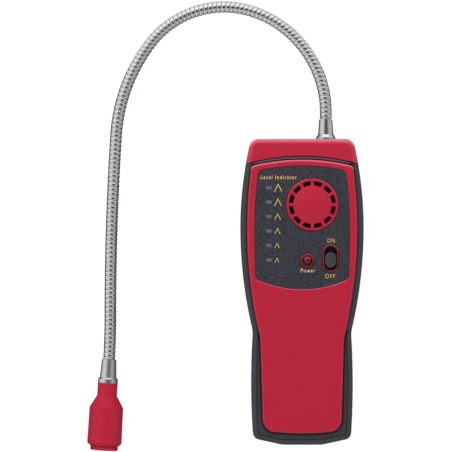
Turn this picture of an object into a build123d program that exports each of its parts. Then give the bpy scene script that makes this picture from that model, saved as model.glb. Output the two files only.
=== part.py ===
"""Gas detector with a gooseneck probe, in millimetres.

The detector lies on its back: +Z out of its front, +Y towards the neck, +X to its right.
The origin is the centre of the case's flat back.
"""

import os

from build123d import *

os.makedirs("parts", exist_ok=True)


# Outline of the case, seen from the front: half widths and heights from its centre
CASE_TOP = 81.4
CASE_TOP_HALF = 27.2
CASE_TOP_ROUND = 5.3
SHOULDER_HALF = 32.8
SHOULDER_Y = 34.0
WAIST_HALF = 26.1
WAIST_Y = -21.5
WAIST_ROUND = 15.0
HIP_BULGE = 0.95
FOOT_HALF = 26.0
FOOT_Y = -78.0
FOOT_ROUND = 4.0
HEEL_HALF = 10.5
HEEL_ROUND = 12.0

# Outline of the red front panel
PANEL_TOP_HALF = 27.2
PANEL_SHOULDER_HALF = 29.5
PANEL_WAIST_HALF = 22.4
PANEL_WAIST_Y = -25.0
PANEL_FOOT_HALF = 21.0
PANEL_FOOT_Y = -73.9
PANEL_BOTTOM = -75.4
PANEL_TOP_ROUND = 3.0
PANEL_FOOT_ROUND = 7.0

# Curved joint under the top cap: arcs about one centre
ARC_CENTRE_Y = -39.6
CAP_ARC = 112.0
PANEL_ARC = 109.9
LABEL_ARC = 106.8

# Outline of the label
LABEL_TOP_HALF = 23.2
LABEL_SHOULDER_HALF = 25.4
LABEL_SHOULDER_Y = 34.0
LABEL_LOW_HALF = 24.8
LABEL_LOW_Y = 6.9
LABEL_BOTTOM = 1.3
LABEL_ROUND = 3.0
LABEL_LOW_ROUND = 1.6

# Levels above the back
PARTING_Z = 16.0
GRIP_Z = 31.0
CAP_Z = 32.0
FACE_Z = 33.2
RECESS_DEPTH = 0.8
LABEL_THICKNESS = 0.4
RAISED_Z = 33.6

# Walls, rounds and clearances
WALL = 2.4
SKIRT_WALL = 1.6
SKIRT_LAP = 3.0
BACK_ROUND = 3.0
GRIP_ROUND = 2.6
CAP_ROUND = 3.0
PANEL_ROUND = 1.3
RECESS_ROUND = 0.35
LIP_ROUND = 0.3
SEAM = 0.1
THREAD_FIT = 0.05
PANEL_GAP = 0.25

# Sounder grille in the front panel
GRILLE_X = 5.4
GRILLE_Y = 46.4
GRILLE_RADIUS = 13.8
SLOT_INNER = 10.2
SLOT_OUTER = 12.5
SPOKE_WIDTH = 1.7
SPOKE_LINES = 6
DOME_RADIUS = 10.0
DOME_RISE = 0.8

# Level windows down the left side
WINDOW_X = -17.7
WINDOW_LOW_Y = 17.0
WINDOW_PITCH = 7.69
WINDOW_COUNT = 6
WINDOW_WIDTH = 3.1
WINDOW_HEIGHT = 1.9
PIPE_BAR_WIDTH = 4.2
PIPE_BAR_END = 3.2
PIPE_BAR_THICKNESS = 1.4
PIPE_FIT = 0.08
PIPE_LAMP_GAP = 0.3
LAMP_THICKNESS = 1.1

# Power lamp
POWER_X = 2.8
POWER_Y = 16.7
POWER_RADIUS = 2.5
POWER_FLANGE = 0.4
POWER_FLANGE_HEIGHT = 1.0
POWER_TOP = 34.6
POWER_LIP = 3.5
LEG_LENGTH = 3.0
LEG_PITCH = 2.54
LEG_WIDTH = 0.5

# Switch on the right
SWITCH_X = 15.1
SWITCH_Y = 17.9
SWITCH_SLOT_WIDTH = 6.8
SWITCH_SLOT_LENGTH = 13.0
SWITCH_LIP = 0.75
THUMB_WIDTH = 6.0
THUMB_LENGTH = 8.2
THUMB_TOP = 33.5
THUMB_ROUND = 0.6
SHIELD_WIDTH = 8.4
SHIELD_LENGTH = 16.0
SHIELD_THICKNESS = 1.1
SWITCH_TRAVEL = 2.0
SWITCH_OFF_Y = 17.0
SWITCH_BODY_WIDTH = 8.6
SWITCH_BODY_LENGTH = 16.0
SWITCH_BODY_HEIGHT = 5.6
STEM_WIDTH = 3.0
STEM_LENGTH = 4.0
STEM_DEPTH = 3.0
SLIDE_FIT = 0.2

# Circuit board, its posts and the parts on it
BOARD_Z = 20.0
BOARD_THICKNESS = 1.6
BOARD_INSET = 5.6
BOARD_GAP = 1.0
BOARD_LOW_Y = 0.0
BOARD_HIGH_Y = 62.5
BOARD_POSTS = ((-22.6, 50.0), (22.6, 50.0), (-20.6, 6.0), (20.6, 6.0))
POST_RADIUS = 2.2
SOUNDER_RADIUS = 13.0
SOUNDER_HEIGHT = 8.6
SOUND_HOLE = 2.0
SOUND_HOLE_DEPTH = 2.9
CHIP_X = -8.0
CHIP_Y = 24.0
CHIP_SIZE = 10.0
CHIP_HEIGHT = 1.6
CHIP_BEVEL = 0.3
SOCKET_TOP_Y = 61.5
SOCKET_LENGTH = 9.0
SOCKET_WIDTH = 7.0
SOCKET_HEIGHT = 6.4

# Case screws, their bosses and the pillars that they pull on
CASE_SCREWS = ((-22.5, 61.0), (22.5, 61.0), (-20.4, -8.0), (20.4, -8.0))
BOSS_RADIUS = 3.2
BOSS_TOP = 17.0
PILLAR_RADIUS = 3.0
SCREW_RADIUS = 1.2
SCREW_HEAD_RADIUS = 2.3
SCREW_HEAD_HEIGHT = 1.6
CASE_SCREW_LENGTH = 21.0
HEAD_POCKET = 6.0
BOARD_SCREW_RADIUS = 1.0
BOARD_SCREW_LENGTH = 6.0
BOARD_HEAD_RADIUS = 1.9
BOARD_HEAD_HEIGHT = 1.3

# Battery cells and their bay
CELL_RADIUS = 7.0
CELL_BODY = 49.3
CELL_ROUND = 0.6
NUB_RADIUS = 2.7
NUB_HEIGHT = 1.2
CELL_PITCH = 14.3
CELL_Z = 9.4
CELL_FIT = 0.25
SPRING_HEIGHT = 2.6
CONTACT_THICKNESS = 0.4
CONTACT_WIDTH = 8.0
CONTACT_LOW_Z = 3.4
CONTACT_HEIGHT = 11.4
BRIDGE_HEIGHT = 5.6
LEAF_HALF = 4.2
LEAF_WIDTH = 5.0
LEAF_FOOT = 0.6
BAY_CENTRE_Y = -44.8
BAY_WALL = 1.8
BAY_HALF = 21.9
BAY_ROOF_WALL = 1.2
BAY_FLOOR_WALL = 1.5

# Battery door in the back
DOOR_HALF = 22.2
DOOR_TOP_Y = -14.2
DOOR_END_Y = -78.4
DOOR_THICKNESS = 1.8
DOOR_RAISE = 0.2
DOOR_FIT = 0.15
TONGUE = 0.8
TONGUE_THICKNESS = 0.9
DOOR_GROOVES = 4
DOOR_GROOVES_Y = 9.0
DOOR_GROOVE_PITCH = 2.4
DOOR_GROOVE_LENGTH = 16.0
DOOR_GROOVE_WIDTH = 1.2
DOOR_GROOVE_DEPTH = 0.5

# Pegs that hold the cap to the rear shell
PEG_X = 19.0
PEG_Z = 8.0
PEG_RADIUS = 1.5
PEG_LENGTH = 4.0
PEG_ROOT_Y = 71.0
PEG_BRACKET = 3.6

# Neck: a straight start, then arcs of a radius and a turn, then the probe's straight
NECK_X = 12.85
NECK_Z = 17.0
NECK_STRAIGHT_END = 95.9
NECK_BENDS = ((56.6, 71.5), (49.7, 72.0), (91.5, 32.9), (1531.0, 3.6), (405.6, -3.3))
COIL_CREST = 3.2
COIL_ROOT = 2.85
COIL_PITCH = 2.35
CORE_RADIUS = 2.5
CORE_BORE = 1.75
CORE_FIT = 0.1
CORE_START = 80.6
COIL_GAP = 0.3
LEAD_RADIUS = 1.4
LEAD_HOLE = 2.0
LEAD_IN_SOCKET = 3.0

# Neck ferrule on the top cap
FERRULE_END = 92.0
FLARE_RADIUS = 5.2
FLARE_END_RADIUS = 4.1
FLARE_LENGTH = 2.6
FLARE_RIM = 1.0
FERRULE_TIP_RADIUS = 3.55
SHANK_RADIUS = 4.0
SHANK_END = 74.2
NUT_ACROSS_FLATS = 13.0
NUT_HEIGHT = 3.2

# Probe, measured along its own axis from the end of the bends
PROBE_FERRULE_START = 0.1
PROBE_FERRULE_LENGTH = 9.7
PROBE_FERRULE_RADII = (3.85, 4.45)
PROBE_FLANGE_RADIUS = 5.35
PROBE_FLANGE_LENGTH = 2.9
PROBE_FLANGE_SHOULDER = 0.9
PROBE_SOCKET_DEPTH = 7.0
COLLAR_RADIUS = 5.3
COLLAR_LENGTH = 6.9
STEP_COUNT = 6
STEP_PITCH = 1.08
STEP_SLOPE = 0.73
BARREL_RADII = (9.0, 9.2)
BARREL_LENGTH = 18.9
BARREL_WALL = 1.6
CHAMFER_LENGTH = 1.6
RING_RADIUS = 7.4
RING_LENGTH = 2.2
RING_BORE = 5.4
RING_ROUND = 0.7
SPIGOT_RADIUS = 6.0
SCREEN_RECESS = 0.8
SCREEN_THICKNESS = 0.6
SCREEN_HOLE = 0.6
SCREEN_RINGS = ((1.6, 6), (3.2, 12))
SENSOR_RADIUS = 4.6
SENSOR_HEIGHT = 9.0
SENSOR_BASE_HEIGHT = 2.4


# How near a corner or an edge lies to where it is looked for
NEAR = 0.001

# Levels and places that follow from the sizes above
PANEL_UNDERSIDE = FACE_Z - WALL
LABEL_FLOOR = FACE_Z - RECESS_DEPTH
LABEL_TOP = LABEL_FLOOR + LABEL_THICKNESS
FLANGE_UNDERSIDE = GRIP_Z - WALL
LID_SHOULDER = FLANGE_UNDERSIDE - SEAM
SKIRT_INSET = WALL + SEAM
SKIRT_LOW = PARTING_Z - SKIRT_LAP
SKIRT_ARC = CAP_ARC - WALL - 2 * SEAM
CAVITY_INSET = SKIRT_INSET + SKIRT_WALL
BOARD_TOP = BOARD_Z + BOARD_THICKNESS
WINDOW_YS = [WINDOW_LOW_Y + WINDOW_PITCH * i for i in range(WINDOW_COUNT)]
BAY_LENGTH = CELL_BODY + NUB_HEIGHT + SPRING_HEIGHT + 2 * CONTACT_THICKNESS + CELL_FIT
BAY_TOP = BAY_CENTRE_Y + BAY_LENGTH / 2
BAY_ROOF = CELL_Z + CELL_RADIUS + CELL_FIT + BAY_ROOF_WALL
CHANNEL_RADIUS = CELL_RADIUS + CELL_FIT
CELL_XS = (-CELL_PITCH, 0.0, CELL_PITCH)
DOOR_Z = DOOR_RAISE + DOOR_THICKNESS
POWER_SEAT = BOARD_TOP + LEG_LENGTH
STEM_FOOT = BOARD_TOP + SWITCH_BODY_HEIGHT - STEM_DEPTH
THUMB_FOOT = PANEL_UNDERSIDE - SLIDE_FIT
SOCKET_FOOT = BOARD_Z - SOCKET_HEIGHT
LEAD_WAY_Y = ARC_CENTRE_Y + SKIRT_ARC - SKIRT_WALL - 2 * WALL


def drawn_in(outline, inset, arc_radius=None, y_min=None):
    """Outline drawn in all round, cut by an arc under the cap and by a lower limit."""
    with BuildSketch(mode=Mode.PRIVATE) as face:
        add(outline)
        if inset > 0:
            offset(amount=-inset)
        if arc_radius is not None:
            with Locations((0, ARC_CENTRE_Y)):
                Circle(arc_radius, mode=Mode.INTERSECT)
        if y_min is not None:
            with Locations((0, y_min)):
                Rectangle(4 * SHOULDER_HALF, 4 * CASE_TOP, align=(Align.CENTER, Align.MIN), mode=Mode.INTERSECT)
    return face.sketch


def edges_at(part, z):
    """Edges that lie flat at one level."""
    return part.edges().filter_by_position(Axis.Z, z - NEAR, z + NEAR)


def level_face(part, z):
    """Largest flat face at one level."""
    return part.faces().filter_by_position(Axis.Z, z - NEAR, z + NEAR).sort_by(SortBy.AREA)[-1]


def corners_at(outline, y):
    """Corners of an outline at one height."""
    return outline.vertices().filter_by_position(Axis.Y, y - NEAR, y + NEAR)


def lead_way():
    """Round hole for the sensor's lead, drawn just inside the top walls."""
    with BuildSketch(Plane.XZ.offset(-LEAD_WAY_Y), mode=Mode.PRIVATE) as hole:
        with Locations((NECK_X, NECK_Z)):
            Circle(LEAD_HOLE)
    return hole.sketch


def save(part, name):
    """Label a finished piece and write it."""
    part.label = name
    export_step(part, f"parts/{name}.step")


# Outlines, drawn once and drawn in where a wall or a gap needs it

with BuildSketch() as case_outline:
    with BuildLine():
        Line((0, CASE_TOP), (CASE_TOP_HALF, CASE_TOP))
        TangentArc((SHOULDER_HALF, SHOULDER_Y), (CASE_TOP_HALF, CASE_TOP), tangent=(0, 1))
        TangentArc((SHOULDER_HALF, SHOULDER_Y), (WAIST_HALF, WAIST_Y), tangent=(0, -1))
        SagittaArc((WAIST_HALF, WAIST_Y), (FOOT_HALF, FOOT_Y), HIP_BULGE)
        Line((FOOT_HALF, FOOT_Y), (HEEL_HALF, -CASE_TOP))
        Line((HEEL_HALF, -CASE_TOP), (0, -CASE_TOP))
        mirror(about=Plane.YZ)
    make_face()
    fillet(corners_at(case_outline, CASE_TOP), CASE_TOP_ROUND)
    fillet(corners_at(case_outline, FOOT_Y), FOOT_ROUND)
    fillet(corners_at(case_outline, WAIST_Y), WAIST_ROUND)
    fillet(corners_at(case_outline, -CASE_TOP), HEEL_ROUND)

with BuildSketch() as panel_outline:
    panel_corner_y = ARC_CENTRE_Y + (PANEL_ARC**2 - PANEL_TOP_HALF**2) ** 0.5
    with BuildLine():
        RadiusArc((0, ARC_CENTRE_Y + PANEL_ARC), (PANEL_TOP_HALF, panel_corner_y), PANEL_ARC)
        TangentArc((PANEL_SHOULDER_HALF, SHOULDER_Y), (PANEL_TOP_HALF, panel_corner_y), tangent=(0, 1))
        TangentArc((PANEL_SHOULDER_HALF, SHOULDER_Y), (PANEL_WAIST_HALF, PANEL_WAIST_Y), tangent=(0, -1))
        Line((PANEL_WAIST_HALF, PANEL_WAIST_Y), (PANEL_FOOT_HALF, PANEL_FOOT_Y))
        TangentArc((0, PANEL_BOTTOM), (PANEL_FOOT_HALF, PANEL_FOOT_Y), tangent=(1, 0))
        mirror(about=Plane.YZ)
    make_face()
    fillet(corners_at(panel_outline, panel_corner_y), PANEL_TOP_ROUND)
    fillet(corners_at(panel_outline, PANEL_WAIST_Y), WAIST_ROUND)
    fillet(corners_at(panel_outline, PANEL_FOOT_Y), PANEL_FOOT_ROUND)

with BuildSketch() as label_outline:
    label_corner_y = ARC_CENTRE_Y + (LABEL_ARC**2 - LABEL_TOP_HALF**2) ** 0.5
    with BuildLine():
        RadiusArc((0, ARC_CENTRE_Y + LABEL_ARC), (LABEL_TOP_HALF, label_corner_y), LABEL_ARC)
        TangentArc((LABEL_SHOULDER_HALF, LABEL_SHOULDER_Y), (LABEL_TOP_HALF, label_corner_y), tangent=(0, 1))
        TangentArc((LABEL_SHOULDER_HALF, LABEL_SHOULDER_Y), (LABEL_LOW_HALF, LABEL_LOW_Y), tangent=(0, -1))
        TangentArc((0, LABEL_BOTTOM), (LABEL_LOW_HALF, LABEL_LOW_Y), tangent=(1, 0))
        mirror(about=Plane.YZ)
    make_face()
    fillet(corners_at(label_outline, label_corner_y), LABEL_ROUND)
    fillet(corners_at(label_outline, LABEL_LOW_Y), LABEL_LOW_ROUND)


# Rear shell: a tray with a rounded back, the battery bay, screw bosses and the door's groove

with BuildPart() as rear_shell:
    with BuildSketch():
        add(case_outline)
    extrude(amount=PARTING_Z)
    fillet(edges_at(rear_shell, 0), BACK_ROUND)
    with BuildSketch():
        with Locations((0, ARC_CENTRE_Y)):
            Circle(CAP_ARC - SEAM)
    extrude(amount=PARTING_Z, mode=Mode.INTERSECT)
    with BuildSketch(Plane.XY.offset(WALL)):
        add(drawn_in(case_outline, WALL, CAP_ARC - SEAM - WALL))
    extrude(amount=PARTING_Z, mode=Mode.SUBTRACT)
    # Battery bay: a thick floor over the door, a wide block under the lid's skirt, a narrow one above
    with BuildSketch(Plane.XY.offset(WALL / 2)):
        add(drawn_in(case_outline, WALL / 2))
        with Locations((0, DOOR_TOP_Y + WALL)):
            Rectangle(4 * SHOULDER_HALF, 4 * CASE_TOP, align=(Align.CENTER, Align.MAX), mode=Mode.INTERSECT)
    extrude(amount=DOOR_Z + DOOR_FIT + BAY_FLOOR_WALL - WALL / 2)
    with BuildSketch(Plane.XY.offset(WALL / 2)):
        add(drawn_in(case_outline, WALL / 2))
        with Locations((0, BAY_CENTRE_Y)):
            Rectangle(4 * SHOULDER_HALF, BAY_LENGTH + 2 * BAY_WALL, mode=Mode.INTERSECT)
    extrude(amount=SKIRT_LOW - SEAM - WALL / 2)
    with BuildSketch(Plane.XY.offset(WALL / 2)):
        with Locations((0, BAY_CENTRE_Y)):
            Rectangle(2 * BAY_HALF, BAY_LENGTH + 2 * BAY_WALL)
    extrude(amount=BAY_ROOF - WALL / 2)
    # Bosses for the case screws
    with BuildSketch(Plane.XY.offset(WALL / 2)):
        with Locations(*CASE_SCREWS):
            Circle(BOSS_RADIUS)
    extrude(amount=BOSS_TOP - WALL / 2)
    with Locations(*[(x, y, 0) for x, y in CASE_SCREWS]):
        with Locations(Location((0, 0, 0), (180, 0, 0))):
            CounterBoreHole(SCREW_RADIUS + SEAM, SCREW_HEAD_RADIUS + SLIDE_FIT, HEAD_POCKET, depth=BOSS_TOP)
    # Channels for the cells, open to the back
    with BuildSketch(Plane.XZ.offset(-BAY_TOP)):
        with Locations(*[(x, CELL_Z) for x in CELL_XS]):
            Circle(CHANNEL_RADIUS)
        with Locations((0, 0)):
            Rectangle(2 * (CELL_PITCH + CHANNEL_RADIUS), CELL_Z, align=(Align.CENTER, Align.MIN))
    extrude(amount=BAY_LENGTH, mode=Mode.SUBTRACT)
    # Recess and groove for the door, open at the bottom end
    for half, low, high in (
        (DOOR_HALF, 0, DOOR_Z),
        (DOOR_HALF + TONGUE, DOOR_Z - TONGUE_THICKNESS - DOOR_FIT, DOOR_Z),
    ):
        with BuildSketch(Plane.XY.offset(low)):
            with Locations((0, DOOR_TOP_Y + DOOR_FIT)):
                Rectangle(2 * (half + DOOR_FIT), 2 * CASE_TOP, align=(Align.CENTER, Align.MAX))
        extrude(amount=high + DOOR_FIT - low, mode=Mode.SUBTRACT)
    # Holes in the top wall for the cap's pegs and the sensor's lead
    with Locations((-PEG_X, PEG_ROOT_Y, PEG_Z), (PEG_X, PEG_ROOT_Y, PEG_Z)):
        Cylinder(PEG_RADIUS + SEAM, 2 * (PEG_LENGTH + SEAM), rotation=(90, 0, 0), mode=Mode.SUBTRACT)
    extrude(lead_way(), amount=LEAD_WAY_Y - CASE_TOP, mode=Mode.SUBTRACT)
save(rear_shell.part, "rear_shell")


# Front shell: a stepped lid with the raised panel, its recess, grille, lips, posts and pillars

with BuildPart() as front_shell:
    with BuildSketch(Plane.XY.offset(SKIRT_LOW)):
        add(drawn_in(case_outline, SKIRT_INSET, SKIRT_ARC))
    extrude(amount=LID_SHOULDER - SKIRT_LOW)
    with BuildSketch(Plane.XY.offset(LID_SHOULDER)):
        add(panel_outline)
    extrude(amount=FACE_Z - LID_SHOULDER)
    with BuildSketch(Plane.XY.offset(LABEL_FLOOR)):
        add(label_outline)
    extrude(amount=WALL, mode=Mode.SUBTRACT)
    fillet(level_face(front_shell, FACE_Z).outer_wire().edges(), PANEL_ROUND)
    fillet(level_face(front_shell, FACE_Z).inner_wires()[0].edges(), RECESS_ROUND)
    with BuildSketch(Plane.XY.offset(SKIRT_LOW)):
        add(drawn_in(case_outline, CAVITY_INSET, SKIRT_ARC - SKIRT_WALL))
    extrude(amount=LID_SHOULDER - WALL - SKIRT_LOW, mode=Mode.SUBTRACT)
    with BuildSketch(Plane.XY.offset(LID_SHOULDER - WALL)):
        add(drawn_in(panel_outline, WALL))
    extrude(amount=PANEL_UNDERSIDE - LID_SHOULDER + WALL, mode=Mode.SUBTRACT)
    # Raised grille, lamp lip and switch lip in the label's recess
    with BuildSketch(Plane.XY.offset(PANEL_UNDERSIDE)):
        with Locations((GRILLE_X, GRILLE_Y)):
            Circle(GRILLE_RADIUS)
        with Locations((POWER_X, POWER_Y)):
            Circle(POWER_LIP)
        with Locations((SWITCH_X, SWITCH_Y)):
            SlotOverall(SWITCH_SLOT_LENGTH + 2 * SWITCH_LIP, SWITCH_SLOT_WIDTH + 2 * SWITCH_LIP, rotation=90)
    extrude(amount=RAISED_Z - PANEL_UNDERSIDE)
    raised_edges = edges_at(front_shell, RAISED_Z)
    fillet(raised_edges, LIP_ROUND)
    with BuildSketch(Plane((GRILLE_X, GRILLE_Y, RAISED_Z), (1, 0, 0), (0, -1, 0))):
        with BuildLine():
            Line((0, 0), (DOME_RADIUS, 0))
            TangentArc((0, DOME_RISE), (DOME_RADIUS, 0), tangent=(1, 0))
            Line((0, DOME_RISE), (0, 0))
        make_face()
    revolve(axis=Axis((GRILLE_X, GRILLE_Y, 0), (0, 0, 1)))
    # Sound slots: a ring cut up by straight spokes
    with BuildSketch(Plane.XY.offset(PANEL_UNDERSIDE)):
        with Locations((GRILLE_X, GRILLE_Y)):
            Circle(SLOT_OUTER)
            Circle(SLOT_INNER, mode=Mode.SUBTRACT)
            with PolarLocations(0, SPOKE_LINES, angular_range=180):
                Rectangle(2 * GRILLE_RADIUS, SPOKE_WIDTH, mode=Mode.SUBTRACT)
    extrude(amount=RAISED_Z, mode=Mode.SUBTRACT)
    # Windows, lamp hole and switch slot
    with BuildSketch(Plane.XY.offset(PANEL_UNDERSIDE)):
        with Locations(*[(WINDOW_X, y) for y in WINDOW_YS]):
            Rectangle(WINDOW_WIDTH, WINDOW_HEIGHT)
        with Locations((POWER_X, POWER_Y)):
            Circle(POWER_RADIUS + SEAM)
        with Locations((SWITCH_X, SWITCH_Y)):
            SlotOverall(SWITCH_SLOT_LENGTH, SWITCH_SLOT_WIDTH, rotation=90)
    extrude(amount=RAISED_Z, mode=Mode.SUBTRACT)
    # Pillars for the case screws and posts for the board
    with BuildSketch(Plane.XY.offset(BOSS_TOP + SEAM)):
        with Locations(*CASE_SCREWS):
            Circle(PILLAR_RADIUS)
    extrude(amount=PANEL_UNDERSIDE + WALL / 2 - BOSS_TOP - SEAM)
    with BuildSketch(Plane.XY.offset(BOARD_TOP)):
        with Locations(*BOARD_POSTS):
            Circle(POST_RADIUS)
    extrude(amount=PANEL_UNDERSIDE + WALL / 2 - BOARD_TOP)
    with BuildSketch(Plane.XY.offset(BOSS_TOP)):
        with Locations(*CASE_SCREWS):
            Circle(SCREW_RADIUS + THREAD_FIT)
    extrude(amount=PANEL_UNDERSIDE - WALL - BOSS_TOP, mode=Mode.SUBTRACT)
    with BuildSketch(Plane.XY.offset(BOARD_TOP)):
        with Locations(*BOARD_POSTS):
            Circle(BOARD_SCREW_RADIUS + THREAD_FIT)
    extrude(amount=BOARD_SCREW_LENGTH, mode=Mode.SUBTRACT)
    # Way through the top wall for the sensor's lead
    extrude(lead_way(), amount=LEAD_WAY_Y - CASE_TOP, mode=Mode.SUBTRACT)
save(front_shell.part, "front_shell")


# Side grip: a rubber ring with a flange in front, which borders the panel

with BuildPart() as side_grip:
    with BuildSketch(Plane.XY.offset(PARTING_Z + SEAM)):
        add(case_outline)
    extrude(amount=GRIP_Z - PARTING_Z - SEAM)
    fillet(edges_at(side_grip, GRIP_Z), GRIP_ROUND)
    with BuildSketch(Plane.XY.offset(PARTING_Z)):
        with Locations((0, ARC_CENTRE_Y)):
            Circle(CAP_ARC - SEAM)
    extrude(amount=CAP_Z, mode=Mode.INTERSECT)
    with BuildSketch(Plane.XY.offset(PARTING_Z)):
        add(drawn_in(case_outline, WALL, SKIRT_ARC + SEAM))
    extrude(amount=FLANGE_UNDERSIDE - PARTING_Z, mode=Mode.SUBTRACT)
    with BuildSketch(Plane.XY.offset(LID_SHOULDER - SEAM)):
        add(panel_outline)
        offset(amount=PANEL_GAP)
    extrude(amount=WALL * 2, mode=Mode.SUBTRACT)
    extrude(lead_way(), amount=LEAD_WAY_Y - CASE_TOP, mode=Mode.SUBTRACT)
save(side_grip.part, "side_grip")


# Top cap: wraps the end of the case and carries the neck

with BuildPart() as top_cap:
    with BuildSketch():
        add(case_outline)
    extrude(amount=CAP_Z)
    fillet(edges_at(top_cap, CAP_Z) + edges_at(top_cap, 0), CAP_ROUND)
    with BuildSketch():
        with Locations((0, ARC_CENTRE_Y)):
            Circle(CAP_ARC)
    extrude(amount=CAP_Z, mode=Mode.SUBTRACT)
    with BuildSketch(Plane.XY.offset(WALL)):
        add(drawn_in(case_outline, WALL))
    extrude(amount=CAP_Z - 2 * WALL, mode=Mode.SUBTRACT)
    with Locations((NECK_X, CASE_TOP, NECK_Z)):
        Cylinder(SHANK_RADIUS + SEAM, 2 * WALL + SEAM, rotation=(90, 0, 0), mode=Mode.SUBTRACT)
    # Pegs, each on a bracket from the back wall
    for side in (-1, 1):
        with BuildSketch(Plane.XY.offset(WALL / 2)):
            with Locations((side * PEG_X, PEG_ROOT_Y)):
                Rectangle(PEG_BRACKET, PEG_BRACKET, align=(Align.CENTER, Align.MIN))
        extrude(amount=PEG_Z + PEG_RADIUS)
        with Locations((side * PEG_X, PEG_ROOT_Y + SEAM, PEG_Z)):
            Cylinder(PEG_RADIUS, PEG_LENGTH, rotation=(90, 0, 0), align=(Align.CENTER, Align.CENTER, Align.MIN))
save(top_cap.part, "top_cap")


# Panel overlay: the label, with openings for what stands through it

with BuildPart() as panel_overlay:
    with BuildSketch(Plane.XY.offset(LABEL_FLOOR)):
        add(label_outline)
        with Locations((GRILLE_X, GRILLE_Y)):
            Circle(GRILLE_RADIUS + SEAM, mode=Mode.SUBTRACT)
        with Locations((POWER_X, POWER_Y)):
            Circle(POWER_LIP + SEAM, mode=Mode.SUBTRACT)
        with Locations((SWITCH_X, SWITCH_Y)):
            SlotOverall(
                SWITCH_SLOT_LENGTH + 2 * SWITCH_LIP + 2 * SEAM,
                SWITCH_SLOT_WIDTH + 2 * SWITCH_LIP + 2 * SEAM,
                rotation=90,
                mode=Mode.SUBTRACT,
            )
        with Locations(*[(WINDOW_X, y) for y in WINDOW_YS]):
            Rectangle(WINDOW_WIDTH, WINDOW_HEIGHT, mode=Mode.SUBTRACT)
    extrude(amount=LABEL_THICKNESS)
save(panel_overlay.part, "panel_overlay")


# Level light pipe: a clear comb, with a post from each lamp to its window

with BuildPart() as level_light_pipe:
    window_middle = (WINDOW_LOW_Y + WINDOW_YS[-1]) / 2
    with BuildSketch(Plane.XY.offset(PANEL_UNDERSIDE - PIPE_FIT - PIPE_BAR_THICKNESS)):
        with Locations((WINDOW_X, window_middle)):
            Rectangle(PIPE_BAR_WIDTH, WINDOW_YS[-1] - WINDOW_LOW_Y + PIPE_BAR_END)
    extrude(amount=PIPE_BAR_THICKNESS)
    with BuildSketch(Plane.XY.offset(BOARD_TOP + LAMP_THICKNESS + PIPE_LAMP_GAP)):
        with Locations(*[(WINDOW_X, y) for y in WINDOW_YS]):
            Rectangle(WINDOW_WIDTH - 2 * PIPE_FIT, WINDOW_HEIGHT - 2 * PIPE_FIT)
    extrude(amount=LABEL_TOP - BOARD_TOP - LAMP_THICKNESS - PIPE_LAMP_GAP)
save(level_light_pipe.part, "level_light_pipe")

with BuildPart() as level_lamps:
    with BuildSketch(Plane.XY.offset(BOARD_TOP)):
        with Locations(*[(WINDOW_X, y) for y in WINDOW_YS]):
            Rectangle(WINDOW_WIDTH, WINDOW_HEIGHT)
    extrude(amount=LAMP_THICKNESS)
save(level_lamps.part, "level_lamps")


# Power lamp: a domed lamp on two legs

with BuildPart() as power_lamp:
    with BuildSketch(Plane((POWER_X, POWER_Y, 0), (1, 0, 0), (0, -1, 0))):
        dome_base = POWER_TOP - POWER_RADIUS
        with BuildLine():
            Polyline(
                (0, POWER_SEAT),
                (POWER_RADIUS + POWER_FLANGE, POWER_SEAT),
                (POWER_RADIUS + POWER_FLANGE, POWER_SEAT + POWER_FLANGE_HEIGHT),
                (POWER_RADIUS, POWER_SEAT + POWER_FLANGE_HEIGHT),
                (POWER_RADIUS, dome_base),
            )
            TangentArc((POWER_RADIUS, dome_base), (0, POWER_TOP), tangent=(0, 1))
            Line((0, POWER_TOP), (0, POWER_SEAT))
        make_face()
    revolve(axis=Axis((POWER_X, POWER_Y, 0), (0, 0, 1)))
    with BuildSketch(Plane.XY.offset(BOARD_TOP)):
        with Locations((POWER_X, POWER_Y - LEG_PITCH / 2), (POWER_X, POWER_Y + LEG_PITCH / 2)):
            Rectangle(LEG_WIDTH, LEG_WIDTH)
    extrude(amount=POWER_SEAT - BOARD_TOP)
save(power_lamp.part, "power_lamp")


# Switch: a body on the board with a slot for the slider's stem

with BuildPart() as switch_body:
    with BuildSketch(Plane.XY.offset(BOARD_TOP)):
        with Locations((SWITCH_X, SWITCH_Y)):
            Rectangle(SWITCH_BODY_WIDTH, SWITCH_BODY_LENGTH)
    extrude(amount=SWITCH_BODY_HEIGHT)
    with BuildSketch(Plane.XY.offset(STEM_FOOT - SLIDE_FIT)):
        with Locations((SWITCH_X, SWITCH_OFF_Y + SWITCH_TRAVEL / 2)):
            Rectangle(STEM_WIDTH + 2 * SLIDE_FIT, STEM_LENGTH + SWITCH_TRAVEL + 4 * SLIDE_FIT)
    extrude(amount=SWITCH_BODY_HEIGHT, mode=Mode.SUBTRACT)
save(switch_body.part, "switch_body")

with BuildPart() as switch_slider:
    with BuildSketch(Plane.XY.offset(THUMB_FOOT)):
        with Locations((SWITCH_X, SWITCH_OFF_Y)):
            SlotOverall(THUMB_LENGTH, THUMB_WIDTH, rotation=90)
    extrude(amount=THUMB_TOP - THUMB_FOOT)
    fillet(edges_at(switch_slider, THUMB_TOP), THUMB_ROUND)
    with BuildSketch(Plane.XY.offset(THUMB_FOOT - SHIELD_THICKNESS)):
        with Locations((SWITCH_X, SWITCH_OFF_Y)):
            Rectangle(SHIELD_WIDTH, SHIELD_LENGTH)
    extrude(amount=SHIELD_THICKNESS)
    with BuildSketch(Plane.XY.offset(STEM_FOOT)):
        with Locations((SWITCH_X, SWITCH_OFF_Y)):
            Rectangle(STEM_WIDTH, STEM_LENGTH)
    extrude(amount=THUMB_FOOT - STEM_FOOT)
save(switch_slider.part, "switch_slider")


# Circuit board and what is soldered to it

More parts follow.
